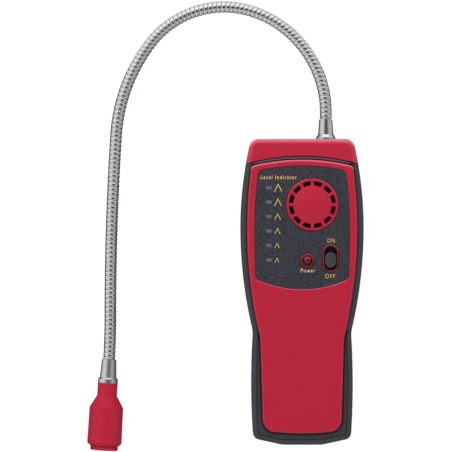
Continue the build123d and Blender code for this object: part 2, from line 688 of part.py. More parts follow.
with BuildPart() as circuit_board:
    with BuildSketch(Plane.XY.offset(BOARD_Z)):
        add(drawn_in(case_outline, BOARD_INSET, SKIRT_ARC - SKIRT_WALL - BOARD_GAP, BOARD_LOW_Y))
        with Locations((0, BOARD_HIGH_Y)):
            Rectangle(4 * SHOULDER_HALF, BOARD_HIGH_Y, align=(Align.CENTER, Align.MIN), mode=Mode.SUBTRACT)
        with Locations(*CASE_SCREWS):
            Circle(PILLAR_RADIUS + 3 * SLIDE_FIT, mode=Mode.SUBTRACT)
        with Locations(*BOARD_POSTS):
            Circle(BOARD_SCREW_RADIUS + SEAM, mode=Mode.SUBTRACT)
    extrude(amount=BOARD_THICKNESS)
save(circuit_board.part, "circuit_board")

with BuildPart() as controller_chip:
    with BuildSketch(Plane.XY.offset(BOARD_Z - CHIP_HEIGHT)):
        with Locations((CHIP_X, CHIP_Y)):
            Rectangle(CHIP_SIZE, CHIP_SIZE)
    extrude(amount=CHIP_HEIGHT)
    chamfer(controller_chip.edges().group_by(Axis.Z)[0], CHIP_BEVEL)
save(controller_chip.part, "controller_chip")

with BuildPart() as lead_socket:
    with BuildSketch(Plane.XY.offset(SOCKET_FOOT)):
        with Locations((NECK_X, SOCKET_TOP_Y)):
            Rectangle(SOCKET_WIDTH, SOCKET_LENGTH, align=(Align.CENTER, Align.MAX))
    extrude(amount=BOARD_Z - SOCKET_FOOT)
    with BuildSketch(Plane.XZ.offset(-SOCKET_TOP_Y)):
        with Locations((NECK_X, NECK_Z)):
            Circle(LEAD_RADIUS + SLIDE_FIT)
    extrude(amount=SOCKET_LENGTH / 2, mode=Mode.SUBTRACT)
save(lead_socket.part, "lead_socket")

with BuildPart() as sounder:
    with Locations((GRILLE_X, GRILLE_Y, BOARD_TOP)):
        Cylinder(SOUNDER_RADIUS, SOUNDER_HEIGHT, align=(Align.CENTER, Align.CENTER, Align.MIN))
    fillet(edges_at(sounder, BOARD_TOP + SOUNDER_HEIGHT), LIP_ROUND)
    with Locations((GRILLE_X, GRILLE_Y, BOARD_TOP + SOUNDER_HEIGHT)):
        Hole(SOUND_HOLE, depth=SOUND_HOLE_DEPTH)
save(sounder.part, "sounder")


# Battery cells, the outer two with their caps up and the middle one with its cap down

CELL_TURNS = (1, -1, 1)
for name, x, turn in zip(("cell_left", "cell_middle", "cell_right"), CELL_XS, CELL_TURNS):
    cap_y = BAY_CENTRE_Y + turn * (BAY_LENGTH / 2 - CONTACT_THICKNESS - SEAM)
    with BuildPart() as cell:
        with BuildSketch(Plane((x, cap_y, CELL_Z), (1, 0, 0), (0, -turn, 0))):
            Circle(NUB_RADIUS)
        extrude(amount=NUB_HEIGHT)
        with BuildSketch(Plane((x, cap_y - turn * NUB_HEIGHT, CELL_Z), (1, 0, 0), (0, -turn, 0))):
            Circle(CELL_RADIUS)
        extrude(amount=CELL_BODY)
        fillet(cell.edges().filter_by(GeomType.CIRCLE).sort_by(SortBy.RADIUS)[-2:], CELL_ROUND)
    save(cell.part, name)


# Battery contacts: plates on the bay's end walls, with a sprung leaf at each flat end of a cell

CONTACTS = (
    ("contact_upper_terminal", 1, CELL_XS[:1], ()),
    ("contact_upper_bridge", 1, CELL_XS[1:], CELL_XS[1:2]),
    ("contact_lower_bridge", -1, CELL_XS[:2], CELL_XS[:1]),
    ("contact_lower_terminal", -1, CELL_XS[2:], CELL_XS[2:]),
)
for name, end, tab_xs, leaf_xs in CONTACTS:
    wall_y = BAY_CENTRE_Y + end * BAY_LENGTH / 2
    base_y = wall_y - end * CONTACT_THICKNESS
    with BuildPart() as contact:
        with BuildSketch(Plane.XZ.offset(-wall_y)):
            with Locations(*[(x, CONTACT_LOW_Z) for x in tab_xs]):
                Rectangle(CONTACT_WIDTH, CONTACT_HEIGHT, align=(Align.CENTER, Align.MIN))
            if len(tab_xs) > 1:
                with Locations(((tab_xs[0] + tab_xs[1]) / 2, CONTACT_LOW_Z)):
                    Rectangle(CELL_PITCH, BRIDGE_HEIGHT, align=(Align.CENTER, Align.MIN))
        extrude(amount=end * CONTACT_THICKNESS)
        for x in leaf_xs:
            with BuildSketch(Plane.YZ.offset(x - LEAF_WIDTH / 2)):
                for sunk, half, mode in (
                    (0, LEAF_HALF, Mode.ADD),
                    (CONTACT_THICKNESS, LEAF_HALF - LEAF_FOOT, Mode.SUBTRACT),
                ):
                    tip_y = base_y - end * (SPRING_HEIGHT - sunk)
                    with BuildLine():
                        Polyline((base_y, CELL_Z - half), (tip_y, CELL_Z), (base_y, CELL_Z + half), close=True)
                    make_face(mode=mode)
            extrude(amount=LEAF_WIDTH)
    save(contact.part, name)


# Battery door: follows the rounded back, with a tongue along each side

with BuildPart() as battery_door:
    with BuildSketch():
        add(case_outline)
    extrude(amount=PARTING_Z)
    fillet(edges_at(battery_door, 0), BACK_ROUND)
    door_length = DOOR_TOP_Y - DOOR_END_Y
    with BuildSketch(Plane.XY.offset(DOOR_RAISE)):
        with Locations((0, DOOR_TOP_Y)):
            Rectangle(2 * (DOOR_HALF + TONGUE), door_length, align=(Align.CENTER, Align.MAX))
    extrude(amount=DOOR_THICKNESS, mode=Mode.INTERSECT)
    with BuildSketch(Plane.XY):
        with Locations((0, DOOR_TOP_Y)):
            Rectangle(4 * DOOR_HALF, 2 * door_length, align=(Align.CENTER, Align.CENTER))
        with Locations((0, DOOR_TOP_Y)):
            Rectangle(2 * DOOR_HALF, 2 * door_length, mode=Mode.SUBTRACT)
    extrude(amount=DOOR_Z - TONGUE_THICKNESS, mode=Mode.SUBTRACT)
    with BuildSketch(Plane.XY.offset(DOOR_RAISE)):
        with Locations((0, DOOR_END_Y + DOOR_GROOVES_Y)):
            with GridLocations(0, DOOR_GROOVE_PITCH, 1, DOOR_GROOVES):
                SlotOverall(DOOR_GROOVE_LENGTH, DOOR_GROOVE_WIDTH)
    extrude(amount=DOOR_GROOVE_DEPTH, mode=Mode.SUBTRACT)
save(battery_door.part, "battery_door")


# Screws: the long ones hold the case, the short ones hold the board

with BuildPart() as case_screws:
    with BuildSketch(Plane.XY.offset(HEAD_POCKET - SCREW_HEAD_HEIGHT)):
        with Locations(*CASE_SCREWS):
            Circle(SCREW_HEAD_RADIUS)
    extrude(amount=SCREW_HEAD_HEIGHT)
    with BuildSketch(Plane.XY.offset(HEAD_POCKET)):
        with Locations(*CASE_SCREWS):
            Circle(SCREW_RADIUS)
    extrude(amount=CASE_SCREW_LENGTH)
save(case_screws.part, "case_screws")

with BuildPart() as board_screws:
    with BuildSketch(Plane.XY.offset(BOARD_Z - BOARD_HEAD_HEIGHT)):
        with Locations(*BOARD_POSTS):
            Circle(BOARD_HEAD_RADIUS)
    extrude(amount=BOARD_HEAD_HEIGHT)
    with BuildSketch(Plane.XY.offset(BOARD_Z)):
        with Locations(*BOARD_POSTS):
            Circle(BOARD_SCREW_RADIUS)
    extrude(amount=BOARD_SCREW_LENGTH)
save(board_screws.part, "board_screws")


# Neck ferrule: a flared sleeve on the cap, with a threaded shank through it

NECK_AXIS = Axis((NECK_X, 0, NECK_Z), (0, 1, 0))

with BuildPart() as neck_ferrule:
    with BuildSketch(Plane.XY.offset(NECK_Z)):
        with BuildLine():
            Polyline(
                (NECK_X + CORE_BORE, SHANK_END),
                (NECK_X + SHANK_RADIUS, SHANK_END),
                (NECK_X + SHANK_RADIUS, CASE_TOP),
                (NECK_X + FLARE_RADIUS, CASE_TOP),
                (NECK_X + FLARE_RADIUS, CASE_TOP + FLARE_RIM),
                (NECK_X + FLARE_END_RADIUS, CASE_TOP + FLARE_LENGTH),
                (NECK_X + FERRULE_TIP_RADIUS, FERRULE_END),
                (NECK_X + CORE_RADIUS + CORE_FIT, FERRULE_END),
                (NECK_X + CORE_RADIUS + CORE_FIT, CORE_START - CORE_FIT),
                (NECK_X + CORE_BORE, CORE_START - CORE_FIT),
                close=True,
            )
        make_face()
    revolve(axis=NECK_AXIS)
save(neck_ferrule.part, "neck_ferrule")

with BuildPart() as neck_nut:
    with BuildSketch(Plane.XZ.offset(WALL + SEAM / 2 - CASE_TOP)):
        with Locations((NECK_X, NECK_Z)):
            RegularPolygon(NUT_ACROSS_FLATS / 2, 6, major_radius=False)
            Circle(SHANK_RADIUS + THREAD_FIT, mode=Mode.SUBTRACT)
    extrude(amount=NUT_HEIGHT)
save(neck_nut.part, "neck_nut")


# Gooseneck: one route in a level plane, for the core, the ridged winding and the lead

def neck_route(start_y, into_probe):
    """Route from a height in the ferrule, through the bends, to a depth in the probe."""
    with BuildLine(mode=Mode.PRIVATE) as route:
        run = Line((NECK_X, start_y), (NECK_X, NECK_STRAIGHT_END))
        for radius, turn in NECK_BENDS:
            run = JernArc(run @ 1, run % 1, radius, turn)
        if into_probe > 0:
            Line(run @ 1, (run @ 1) + (run % 1) * into_probe)
    return Pos(0, 0, NECK_Z) * route.wire()


def across(route, place):
    """Plane across the route at a share of its length."""
    return Plane(route @ place, x_dir=(0, 0, 1), z_dir=route % place)


core_route = neck_route(CORE_START, PROBE_SOCKET_DEPTH)
with BuildPart() as neck_core:
    with BuildSketch(across(core_route, 0)):
        Circle(CORE_RADIUS)
        Circle(CORE_BORE, mode=Mode.SUBTRACT)
    sweep(path=core_route)
save(neck_core.part, "neck_core")

coil_route = neck_route(FERRULE_END + COIL_GAP, 0)
turns = round(coil_route.length / COIL_PITCH)
with BuildPart() as neck_coil:
    for station in range(2 * turns + 1):
        with BuildSketch(across(coil_route, station / (2 * turns))):
            Circle(COIL_ROOT if station % 2 == 0 else COIL_CREST)
    loft(ruled=True)
    with BuildSketch(across(coil_route, 0)):
        Circle(CORE_RADIUS + SEAM / 2)
    sweep(path=coil_route, mode=Mode.SUBTRACT)
save(neck_coil.part, "neck_coil")


# Probe: turned pieces on its own axis, which leaves the last bend

probe_start = coil_route @ 1
probe_way = coil_route % 1
PROBE_AXIS = Axis(probe_start, probe_way)
PROBE_PLANE = Plane(probe_start, x_dir=(probe_way.Y, -probe_way.X, 0), z_dir=(0, 0, 1))

FLANGE_AT = PROBE_FERRULE_START + PROBE_FERRULE_LENGTH
COLLAR_AT = FLANGE_AT + PROBE_FLANGE_LENGTH
STEPS_AT = COLLAR_AT + COLLAR_LENGTH
BARREL_AT = STEPS_AT + STEP_COUNT * STEP_PITCH
CHAMFER_AT = BARREL_AT + BARREL_LENGTH
RING_AT = CHAMFER_AT + CHAMFER_LENGTH
PROBE_TIP = RING_AT + RING_LENGTH
CORE_SOCKET_AT = PROBE_SOCKET_DEPTH + SEAM
SENSOR_BASE_AT = CHAMFER_AT - SENSOR_HEIGHT - SENSOR_BASE_HEIGHT
BARREL_BORE = BARREL_RADII[0] - BARREL_WALL


with BuildPart() as probe_ferrule:
    with BuildSketch(PROBE_PLANE):
        with BuildLine():
            Polyline(
                (CORE_RADIUS + SEAM / 2, PROBE_FERRULE_START),
                (PROBE_FERRULE_RADII[0], PROBE_FERRULE_START),
                (PROBE_FERRULE_RADII[1], FLANGE_AT),
                (PROBE_FLANGE_RADIUS, FLANGE_AT + PROBE_FLANGE_SHOULDER),
                (PROBE_FLANGE_RADIUS, COLLAR_AT),
                (PROBE_FERRULE_RADII[0], COLLAR_AT),
                (PROBE_FERRULE_RADII[0], STEPS_AT),
                (CORE_BORE, STEPS_AT),
                (CORE_BORE, CORE_SOCKET_AT),
                (CORE_RADIUS + SEAM / 2, CORE_SOCKET_AT),
                close=True,
            )
        make_face()
    revolve(axis=PROBE_AXIS)
save(probe_ferrule.part, "probe_ferrule")

step_rise = (BARREL_RADII[0] - COLLAR_RADIUS) / STEP_COUNT
step_points = []
for step in range(STEP_COUNT):
    step_radius = COLLAR_RADIUS + step_rise * (step + 1)
    step_points.append((step_radius, STEPS_AT + step * STEP_PITCH + STEP_SLOPE))
    step_points.append((step_radius, STEPS_AT + (step + 1) * STEP_PITCH))

with BuildPart() as probe_housing:
    with BuildSketch(PROBE_PLANE):
        with BuildLine():
            Polyline(
                (PROBE_FERRULE_RADII[0] + SEAM / 2, COLLAR_AT + SEAM / 2),
                (COLLAR_RADIUS, COLLAR_AT + SEAM / 2),
                (COLLAR_RADIUS, STEPS_AT),
                *step_points,
                (BARREL_RADII[1], CHAMFER_AT),
                (RING_RADIUS, RING_AT),
                (SPIGOT_RADIUS + SEAM / 2, RING_AT),
                (SPIGOT_RADIUS + SEAM / 2, CHAMFER_AT),
                (BARREL_BORE, CHAMFER_AT),
                (BARREL_BORE, BARREL_AT + BARREL_WALL),
                (PROBE_FERRULE_RADII[0] + SEAM / 2, STEPS_AT + BARREL_WALL),
                close=True,
            )
        make_face()
    revolve(axis=PROBE_AXIS)
save(probe_housing.part, "probe_housing")

with BuildPart() as probe_ring:
    with BuildSketch(PROBE_PLANE):
        with BuildLine():
            Polyline(
                (RING_BORE, CHAMFER_AT + SEAM),
                (SPIGOT_RADIUS, CHAMFER_AT + SEAM),
                (SPIGOT_RADIUS, RING_AT + SEAM / 2),
                (RING_RADIUS, RING_AT + SEAM / 2),
                (RING_RADIUS, PROBE_TIP),
                (RING_BORE, PROBE_TIP),
                close=True,
            )
        make_face()
    revolve(axis=PROBE_AXIS)
    ring_edges = probe_ring.edges().filter_by(GeomType.CIRCLE)
    fillet(ring_edges.filter_by(lambda edge: abs(edge.radius - RING_RADIUS) < THREAD_FIT), RING_ROUND)
save(probe_ring.part, "probe_ring")


def probe_station(distance):
    """Plane across the probe at a distance along its axis, facing its tip."""
    return Plane(probe_start + probe_way * distance, x_dir=(0, 0, 1), z_dir=probe_way)


with BuildPart() as probe_screen:
    with BuildSketch(probe_station(RING_AT + SCREEN_RECESS)):
        Circle(RING_BORE - SEAM / 2)
        for ring_radius, holes in SCREEN_RINGS:
            with PolarLocations(ring_radius, holes):
                Circle(SCREEN_HOLE, mode=Mode.SUBTRACT)
    extrude(amount=SCREEN_THICKNESS)
save(probe_screen.part, "probe_screen")

with BuildPart() as sensor_base:
    with BuildSketch(probe_station(SENSOR_BASE_AT)):
        Circle(BARREL_BORE - SLIDE_FIT)
    extrude(amount=SENSOR_BASE_HEIGHT)
save(sensor_base.part, "sensor_base")

with BuildPart() as sensor_can:
    with BuildSketch(probe_station(SENSOR_BASE_AT + SENSOR_BASE_HEIGHT)):
        Circle(SENSOR_RADIUS)
    extrude(amount=SENSOR_HEIGHT)
    fillet(sensor_can.edges().sort_by(PROBE_AXIS)[-1], CELL_ROUND)
save(sensor_can.part, "sensor_can")

lead_route = neck_route(SOCKET_TOP_Y - LEAD_IN_SOCKET, SENSOR_BASE_AT)
with BuildPart() as sensor_lead:
    with BuildSketch(across(lead_route, 0)):
        Circle(LEAD_RADIUS)
    sweep(path=lead_route)
save(sensor_lead.part, "sensor_lead")
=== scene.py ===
"""Gas detector with a gooseneck probe: surfaces, finishes, printed marks and stage."""

import math

import bmesh
import bpy
import numpy as np
from bpy.props import FloatProperty, FloatVectorProperty, IntProperty, PointerProperty
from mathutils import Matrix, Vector


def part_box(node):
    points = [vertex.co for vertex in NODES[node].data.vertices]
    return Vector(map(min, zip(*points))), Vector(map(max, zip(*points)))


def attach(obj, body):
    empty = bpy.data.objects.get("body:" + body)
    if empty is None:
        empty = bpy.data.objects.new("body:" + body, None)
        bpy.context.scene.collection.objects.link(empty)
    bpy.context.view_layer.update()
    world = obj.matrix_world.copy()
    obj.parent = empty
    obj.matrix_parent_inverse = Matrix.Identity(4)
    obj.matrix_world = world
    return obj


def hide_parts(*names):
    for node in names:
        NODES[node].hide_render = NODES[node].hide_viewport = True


bl_info = {
    "name": "Gas Detector",
    "version": (1, 0, 0),
    "blender": (4, 5, 0),
    "location": "View3D > Sidebar > Detector",
    "description": "Dresses a hand-held gas detector and its gooseneck probe",
    "category": "Object",
}

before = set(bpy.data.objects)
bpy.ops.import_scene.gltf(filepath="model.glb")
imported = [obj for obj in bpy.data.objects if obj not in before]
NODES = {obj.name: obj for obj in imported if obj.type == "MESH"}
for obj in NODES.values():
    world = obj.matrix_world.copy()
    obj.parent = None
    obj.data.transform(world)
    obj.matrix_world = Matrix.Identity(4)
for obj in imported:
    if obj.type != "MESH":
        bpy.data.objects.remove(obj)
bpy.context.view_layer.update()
MM = 0.001

# Middle line of the gooseneck in millimetres and degrees: where it starts, how far it runs straight,
# and the radius and turn of each arc after that
NECK_START = (12.85, 92.3)
NECK_STRAIGHT = 3.6
NECK_BENDS = ((56.6, 71.5), (49.7, 72.0), (91.5, 32.9), (1531.0, 3.6), (405.6, -3.3))
NECK_LEVEL = 17.0


def linear(red, green, blue):
    """Colour in scene light from display values between 0 and 255."""
    shares = np.array([red, green, blue]) / 255.0
    low = shares / 12.92
    high = ((shares + 0.055) / 1.055) ** 2.4
    return tuple(float(v) for v in np.where(shares <= 0.04045, low, high))


# Sizes and colours that a user would change


class CaseFinish(bpy.types.PropertyGroup):
    """Colours of the moulded case"""

    red: FloatVectorProperty(
        name="Red",
        description="Colour of the front panel, top cap and probe",
        subtype="COLOR",
        size=3,
        min=0.0,
        max=1.0,
        default=linear(184, 24, 55),
    )
    grip: FloatVectorProperty(
        name="Grip",
        description="Colour of the rubber round the panel and of the rear shell",
        subtype="COLOR",
        size=3,
        min=0.0,
        max=1.0,
        default=linear(49, 51, 56),
    )
    label: FloatVectorProperty(
        name="Label",
        description="Colour of the film in the panel's recess",
        subtype="COLOR",
        size=3,
        min=0.0,
        max=1.0,
        default=linear(48, 49, 57),
    )
    window: FloatVectorProperty(
        name="Windows",
        description="Colour of the frosted level windows",
        subtype="COLOR",
        size=3,
        min=0.0,
        max=1.0,
        default=linear(98, 95, 102),
    )


class NeckSizes(bpy.types.PropertyGroup):
    """Shape of the wound outer wire of the gooseneck"""

    pitch: FloatProperty(
        name="Pitch",
        description="Distance from one ridge to the next along the neck",
        subtype="DISTANCE",
        unit="LENGTH",
        min=0.001,
        max=0.006,
        default=0.0024,
    )
    crest: FloatProperty(
        name="Crest radius",
        description="Radius at the top of a ridge",
        subtype="DISTANCE",
        unit="LENGTH",
        min=0.003,
        max=0.0033,
        default=0.0032,
    )
    groove: FloatProperty(
        name="Groove radius",
        description="Radius at the bottom of a groove",
        subtype="DISTANCE",
        unit="LENGTH",
        min=0.00255,
        max=0.0031,
        default=0.00293,
    )
    around: IntProperty(
        name="Points around",
        description="Points round the neck",
        min=12,
        max=64,
        default=32,
    )


class PrintedMarks(bpy.types.PropertyGroup):
    """Size and colour of what is printed on the label"""

    ink: FloatVectorProperty(
        name="Ink",
        description="Colour of the printed words and marks",
        subtype="COLOR",
        size=3,
        min=0.0,
        max=1.0,
        default=linear(250, 200, 104),
    )
    largest: FloatProperty(
        name="Largest mark",
        description="Width of the top level mark",
        subtype="DISTANCE",
        unit="LENGTH",
        min=0.002,
        max=0.006,
        default=0.0043,
    )
    smallest: FloatProperty(
        name="Smallest mark",
        description="Width of the bottom level mark",
        subtype="DISTANCE",
        unit="LENGTH",
        min=0.001,
        max=0.004,
        default=0.0024,
    )
    stroke: FloatProperty(
        name="Stroke",
        description="Width of the printed lines",
        subtype="DISTANCE",
        unit="LENGTH",
        min=0.0002,
        max=0.0008,
        default=0.00031,
    )


class StageSettings(bpy.types.PropertyGroup):
    """Floor, lights and camera"""

    pixels_per_mm: FloatProperty(
        name="Pixels per millimetre",
        description="Scale of the photograph at the height of the panel",
        min=0.5,
        max=5.0,
        default=1.882,
    )
    centre_x: FloatProperty(
        name="Centre across",
        description="Place of the picture's centre, across the case",
        subtype="DISTANCE",
        unit="LENGTH",
        default=-0.0405,
    )
    centre_y: FloatProperty(
        name="Centre along",
        description="Place of the picture's centre, along the case",
        subtype="DISTANCE",
        unit="LENGTH",
        default=0.03505,
    )
    distance: FloatProperty(
        name="Camera height",
        description="Height of the camera above the floor",
        subtype="DISTANCE",
        unit="LENGTH",
        min=0.5,
        max=6.0,
        default=2.5,
    )
    roll: FloatProperty(
        name="Camera roll",
        description="Turn of the camera about its line of sight",
        subtype="ANGLE",
        unit="ROTATION",
        default=0.0,
    )


# Shader helpers


def new_material(name):
    """Material with a plain shader and an output."""
    material = bpy.data.materials.new(name)
    material.use_nodes = True
    tree = material.node_tree
    tree.nodes.clear()
    output = tree.nodes.new("ShaderNodeOutputMaterial")
    shader = tree.nodes.new("ShaderNodeBsdfPrincipled")
    tree.links.new(shader.outputs["BSDF"], output.inputs["Surface"])
    return material, tree, shader


def feed(tree, socket, value):
    """Link another node's output to a socket, or set the socket to a number."""
    if isinstance(value, bpy.types.NodeSocket):
        tree.links.new(value, socket)
    else:
        socket.default_value = value


def calculate(tree, operation, *values):
    """Output of a math node whose inputs are numbers or other outputs."""
    node = tree.nodes.new("ShaderNodeMath")
    node.operation = operation
    for socket, value in zip(node.inputs, values):
        feed(tree, socket, value)
    return node.outputs[0]


def fade(tree, value, low, high, at_low, at_high):
    """Output that goes smoothly from one level to another while a value goes from low to high."""
    node = tree.nodes.new("ShaderNodeMapRange")
    node.interpolation_type = "SMOOTHSTEP"
    for socket, entry in zip(node.inputs, (value, low, high, at_low, at_high)):
        feed(tree, socket, entry)
    return node.outputs["Result"]


def blend(tree, share, first, second):
    """Output that mixes two colours by a share."""
    node = tree.nodes.new("ShaderNodeMix")
    node.data_type = "RGBA"
    feed(tree, node.inputs["Factor"], share)
    feed(tree, node.inputs["A"], first)
    feed(tree, node.inputs["B"], second)
    return node.outputs["Result"]


def new_group(name, inputs, outputs):
    """Shader group with its sockets, as name and kind, or name, kind and default."""
    group = bpy.data.node_groups.new(name, "ShaderNodeTree")
    for label, kind, *default in inputs:
        socket = group.interface.new_socket(label, in_out="INPUT", socket_type="NodeSocket" + kind)
        if default:
            socket.default_value = default[0]
    for label, kind in outputs:
        group.interface.new_socket(label, in_out="OUTPUT", socket_type="NodeSocket" + kind)
    entry = group.nodes.new("NodeGroupInput")
    leave = group.nodes.new("NodeGroupOutput")
    return group, entry.outputs, leave.inputs


def use_group(tree, group, **values):
    """Outputs of a group in a material, with its inputs set. A name's underscores stand for spaces."""
    node = tree.nodes.new("ShaderNodeGroup")
    node.node_tree = group
    for name, value in values.items():
        feed(tree, node.inputs[name.replace("_", " ")], value)
    return node.outputs


def grain_group():
    """Group: moulded surface grain. Noise on the object's own place tints the colour a little,
    lifts and lowers the roughness, and raises a fine bump."""
    name = "Moulded Grain"
    broad_share = 0.2
    middle = (1.0 + broad_share) / 2.0
    if name in bpy.data.node_groups:
        return bpy.data.node_groups[name]
    inputs = (
        ("Colour", "Color"),
        ("Tint", "Float", 0.08),
        ("Roughness", "Float", 0.4),
        ("Roughness Spread", "Float", 0.08),
        ("Grain Size", "Float", 0.4),
        ("Grain Depth", "Float", 0.02),
    )
    outputs = (("Colour", "Color"), ("Roughness", "Float"), ("Normal", "Vector"))
    group, entry, leave = new_group(name, inputs, outputs)
    nodes = group.nodes
    links = group.links
    place = nodes.new("ShaderNodeTexCoord")
    fine = nodes.new("ShaderNodeTexNoise")
    fine.inputs["Detail"].default_value = 3.0
    links.new(place.outputs["Object"], fine.inputs["Vector"])
    feed(group, fine.inputs["Scale"], calculate(group, "DIVIDE", 1.0 / MM, entry["Grain Size"]))
    broad = nodes.new("ShaderNodeTexNoise")
    broad.inputs["Scale"].default_value = 55.0
    broad.inputs["Detail"].default_value = 2.0
    links.new(place.outputs["Object"], broad.inputs["Vector"])
    slow = calculate(group, "MULTIPLY_ADD", broad.outputs["Fac"], broad_share, -middle)
    swing = calculate(group, "ADD", fine.outputs["Fac"], slow)
    tint = nodes.new("ShaderNodeVectorMath")
    tint.operation = "SCALE"
    links.new(entry["Colour"], tint.inputs[0])
    links.new(calculate(group, "MULTIPLY_ADD", swing, entry["Tint"], 1.0), tint.inputs["Scale"])
    links.new(tint.outputs[0], leave["Colour"])
    rough = calculate(group, "MULTIPLY_ADD", swing, entry["Roughness Spread"], entry["Roughness"])
    links.new(rough, leave["Roughness"])
    bump = nodes.new("ShaderNodeBump")
    bump.inputs["Strength"].default_value = 1.0
    links.new(calculate(group, "MULTIPLY", entry["Grain Depth"], MM), bump.inputs["Distance"])
    links.new(fine.outputs["Fac"], bump.inputs["Height"])
    links.new(bump.outputs["Normal"], leave["Normal"])
    return group


def painted_light_height_group():
    """Group: one colour low on the object and another above it, smoothly between two heights in
    millimetres. It paints shade on the floors of slots and recesses, and paints a highlight on a crest."""
    name = "Colour By Height"
    if name in bpy.data.node_groups:
        return bpy.data.node_groups[name]
    inputs = (("Below", "Color"), ("Above", "Color"), ("From", "Float", 30.0), ("To", "Float", 32.0))
    group, entry, leave = new_group(name, inputs, (("Colour", "Color"),))
    place = group.nodes.new("ShaderNodeTexCoord")
    parts = group.nodes.new("ShaderNodeSeparateXYZ")
    group.links.new(place.outputs["Object"], parts.inputs[0])
    height = calculate(group, "DIVIDE", parts.outputs["Z"], MM)
    share = fade(group, height, entry["From"], entry["To"], 0.0, 1.0)
    group.links.new(blend(group, share, entry["Below"], entry["Above"]), leave["Colour"])
    return group


def painted_light_slope_group():
    """Group: painted light on rounded edges. One colour for level and upright faces, another painted colour
    on the rounded edges between them, and a painted highlight on those that fall towards the neck's end and
    the light."""
    name = "Colour By Slope"
    upright = 0.2
    if name in bpy.data.node_groups:
        return bpy.data.node_groups[name]
    inputs = (
        ("Face", "Color"),
        ("Side", "Color"),
        ("Lit", "Color"),
        ("From", "Float", 0.6),
        ("To", "Float", 0.99),
    )
    group, entry, leave = new_group(name, inputs, (("Colour", "Color"),))
    place = group.nodes.new("ShaderNodeTexCoord")
    parts = group.nodes.new("ShaderNodeSeparateXYZ")
    group.links.new(place.outputs["Normal"], parts.inputs[0])
    level = fade(group, parts.outputs["Z"], entry["From"], entry["To"], 0.0, 1.0)
    wall = fade(group, parts.outputs["Z"], 0.0, upright, 1.0, 0.0)
    share = calculate(group, "MAXIMUM", level, wall)
    # Painted highlight on rounded edges that face past the neck, towards the light.
    towards = fade(group, parts.outputs["Y"], 0.1, 0.4, 0.0, 1.0)
    fallen = blend(group, towards, entry["Side"], entry["Lit"])
    group.links.new(blend(group, share, fallen, entry["Face"]), leave["Colour"])
    return group


def lip_group():
    """Group: how far a place lies inside a raised lip that goes round a slot. It measures the distance in
    the front's plane to the slot's middle line, which runs along Y. Sizes are in millimetres."""
    name = "Lip Mask"
    soft = 0.1
    if name in bpy.data.node_groups:
        return bpy.data.node_groups[name]
    inputs = (
        ("Centre X", "Float"),
        ("Centre Y", "Float"),
        ("Half Length", "Float"),
        ("Reach", "Float", 3.0),
    )
    group, entry, leave = new_group(name, inputs, (("Mask", "Float"),))
    place = group.nodes.new("ShaderNodeTexCoord")
    parts = group.nodes.new("ShaderNodeSeparateXYZ")
    group.links.new(place.outputs["Object"], parts.inputs[0])
    x = calculate(group, "SUBTRACT", calculate(group, "DIVIDE", parts.outputs["X"], MM), entry["Centre X"])
    y = calculate(group, "SUBTRACT", calculate(group, "DIVIDE", parts.outputs["Y"], MM), entry["Centre Y"])
    past_end = calculate(group, "SUBTRACT", calculate(group, "ABSOLUTE", y), entry["Half Length"])
    past_end = calculate(group, "MAXIMUM", past_end, 0.0)
    square = calculate(group, "MULTIPLY_ADD", x, x, calculate(group, "MULTIPLY", past_end, past_end))
    short = calculate(group, "SUBTRACT", entry["Reach"], calculate(group, "SQRT", square))
    group.links.new(fade(group, short, -soft, soft, 0.0, 1.0), leave["Mask"])
    return group


def surround_group():
    """Group: what a mirror sees of the studio, by direction. A pale room, brighter at the left than at
    the right and brightest past the neck, with a dark oval straight up, where the camera hangs. A
    direction is 1 long: x goes to the right, y past the neck and z up."""
    name = "Studio Surround"
    if name in bpy.data.node_groups:
        return bpy.data.node_groups[name]
    group, _, leave = new_group(name, (), (("Brightness", "Float"),))
    place = group.nodes.new("ShaderNodeTexCoord")
    parts = group.nodes.new("ShaderNodeSeparateXYZ")
    group.links.new(place.outputs["Generated"], parts.inputs[0])
    x, y, z = parts.outputs

    plain = 0.8
    to_the_right = -0.22
    past_the_neck = 0.15
    at_both_ends = 0.2
    extra_light = 0.4
    room = calculate(group, "MULTIPLY_ADD", x, to_the_right, plain)
    room = calculate(group, "MULTIPLY_ADD", y, past_the_neck, room)
    room = calculate(group, "MULTIPLY_ADD", calculate(group, "MULTIPLY", y, y), at_both_ends, room)
    past = fade(group, y, 0.4, 0.65, 0.0, extra_light)
    narrow = fade(group, calculate(group, "ABSOLUTE", x), 0.3, 0.65, 1.0, 0.0)
    room = calculate(group, "MULTIPLY_ADD", past, narrow, room)

    oval_x, oval_y = 0.05, -0.06
    oval_half_x, oval_half_y = 0.64, 0.47
    dark = 0.05
    wide = calculate(group, "DIVIDE", calculate(group, "SUBTRACT", x, oval_x), oval_half_x)
    deep = calculate(group, "DIVIDE", calculate(group, "SUBTRACT", y, oval_y), oval_half_y)
    square = calculate(group, "MULTIPLY_ADD", wide, wide, calculate(group, "MULTIPLY", deep, deep))
    overhead = fade(group, calculate(group, "SQRT", square), 0.7, 1.1, dark, 1.0)
    upper = calculate(group, "GREATER_THAN", z, 0.0)
    hood = calculate(group, "MULTIPLY_ADD", calculate(group, "SUBTRACT", overhead, 1.0), upper, 1.0)

    horizon = fade(group, z, 0.0, 0.2, 0.7, 1.0)
    lit = calculate(group, "MULTIPLY", room, hood)
    group.links.new(calculate(group, "MULTIPLY", lit, horizon), leave["Brightness"])
    return group


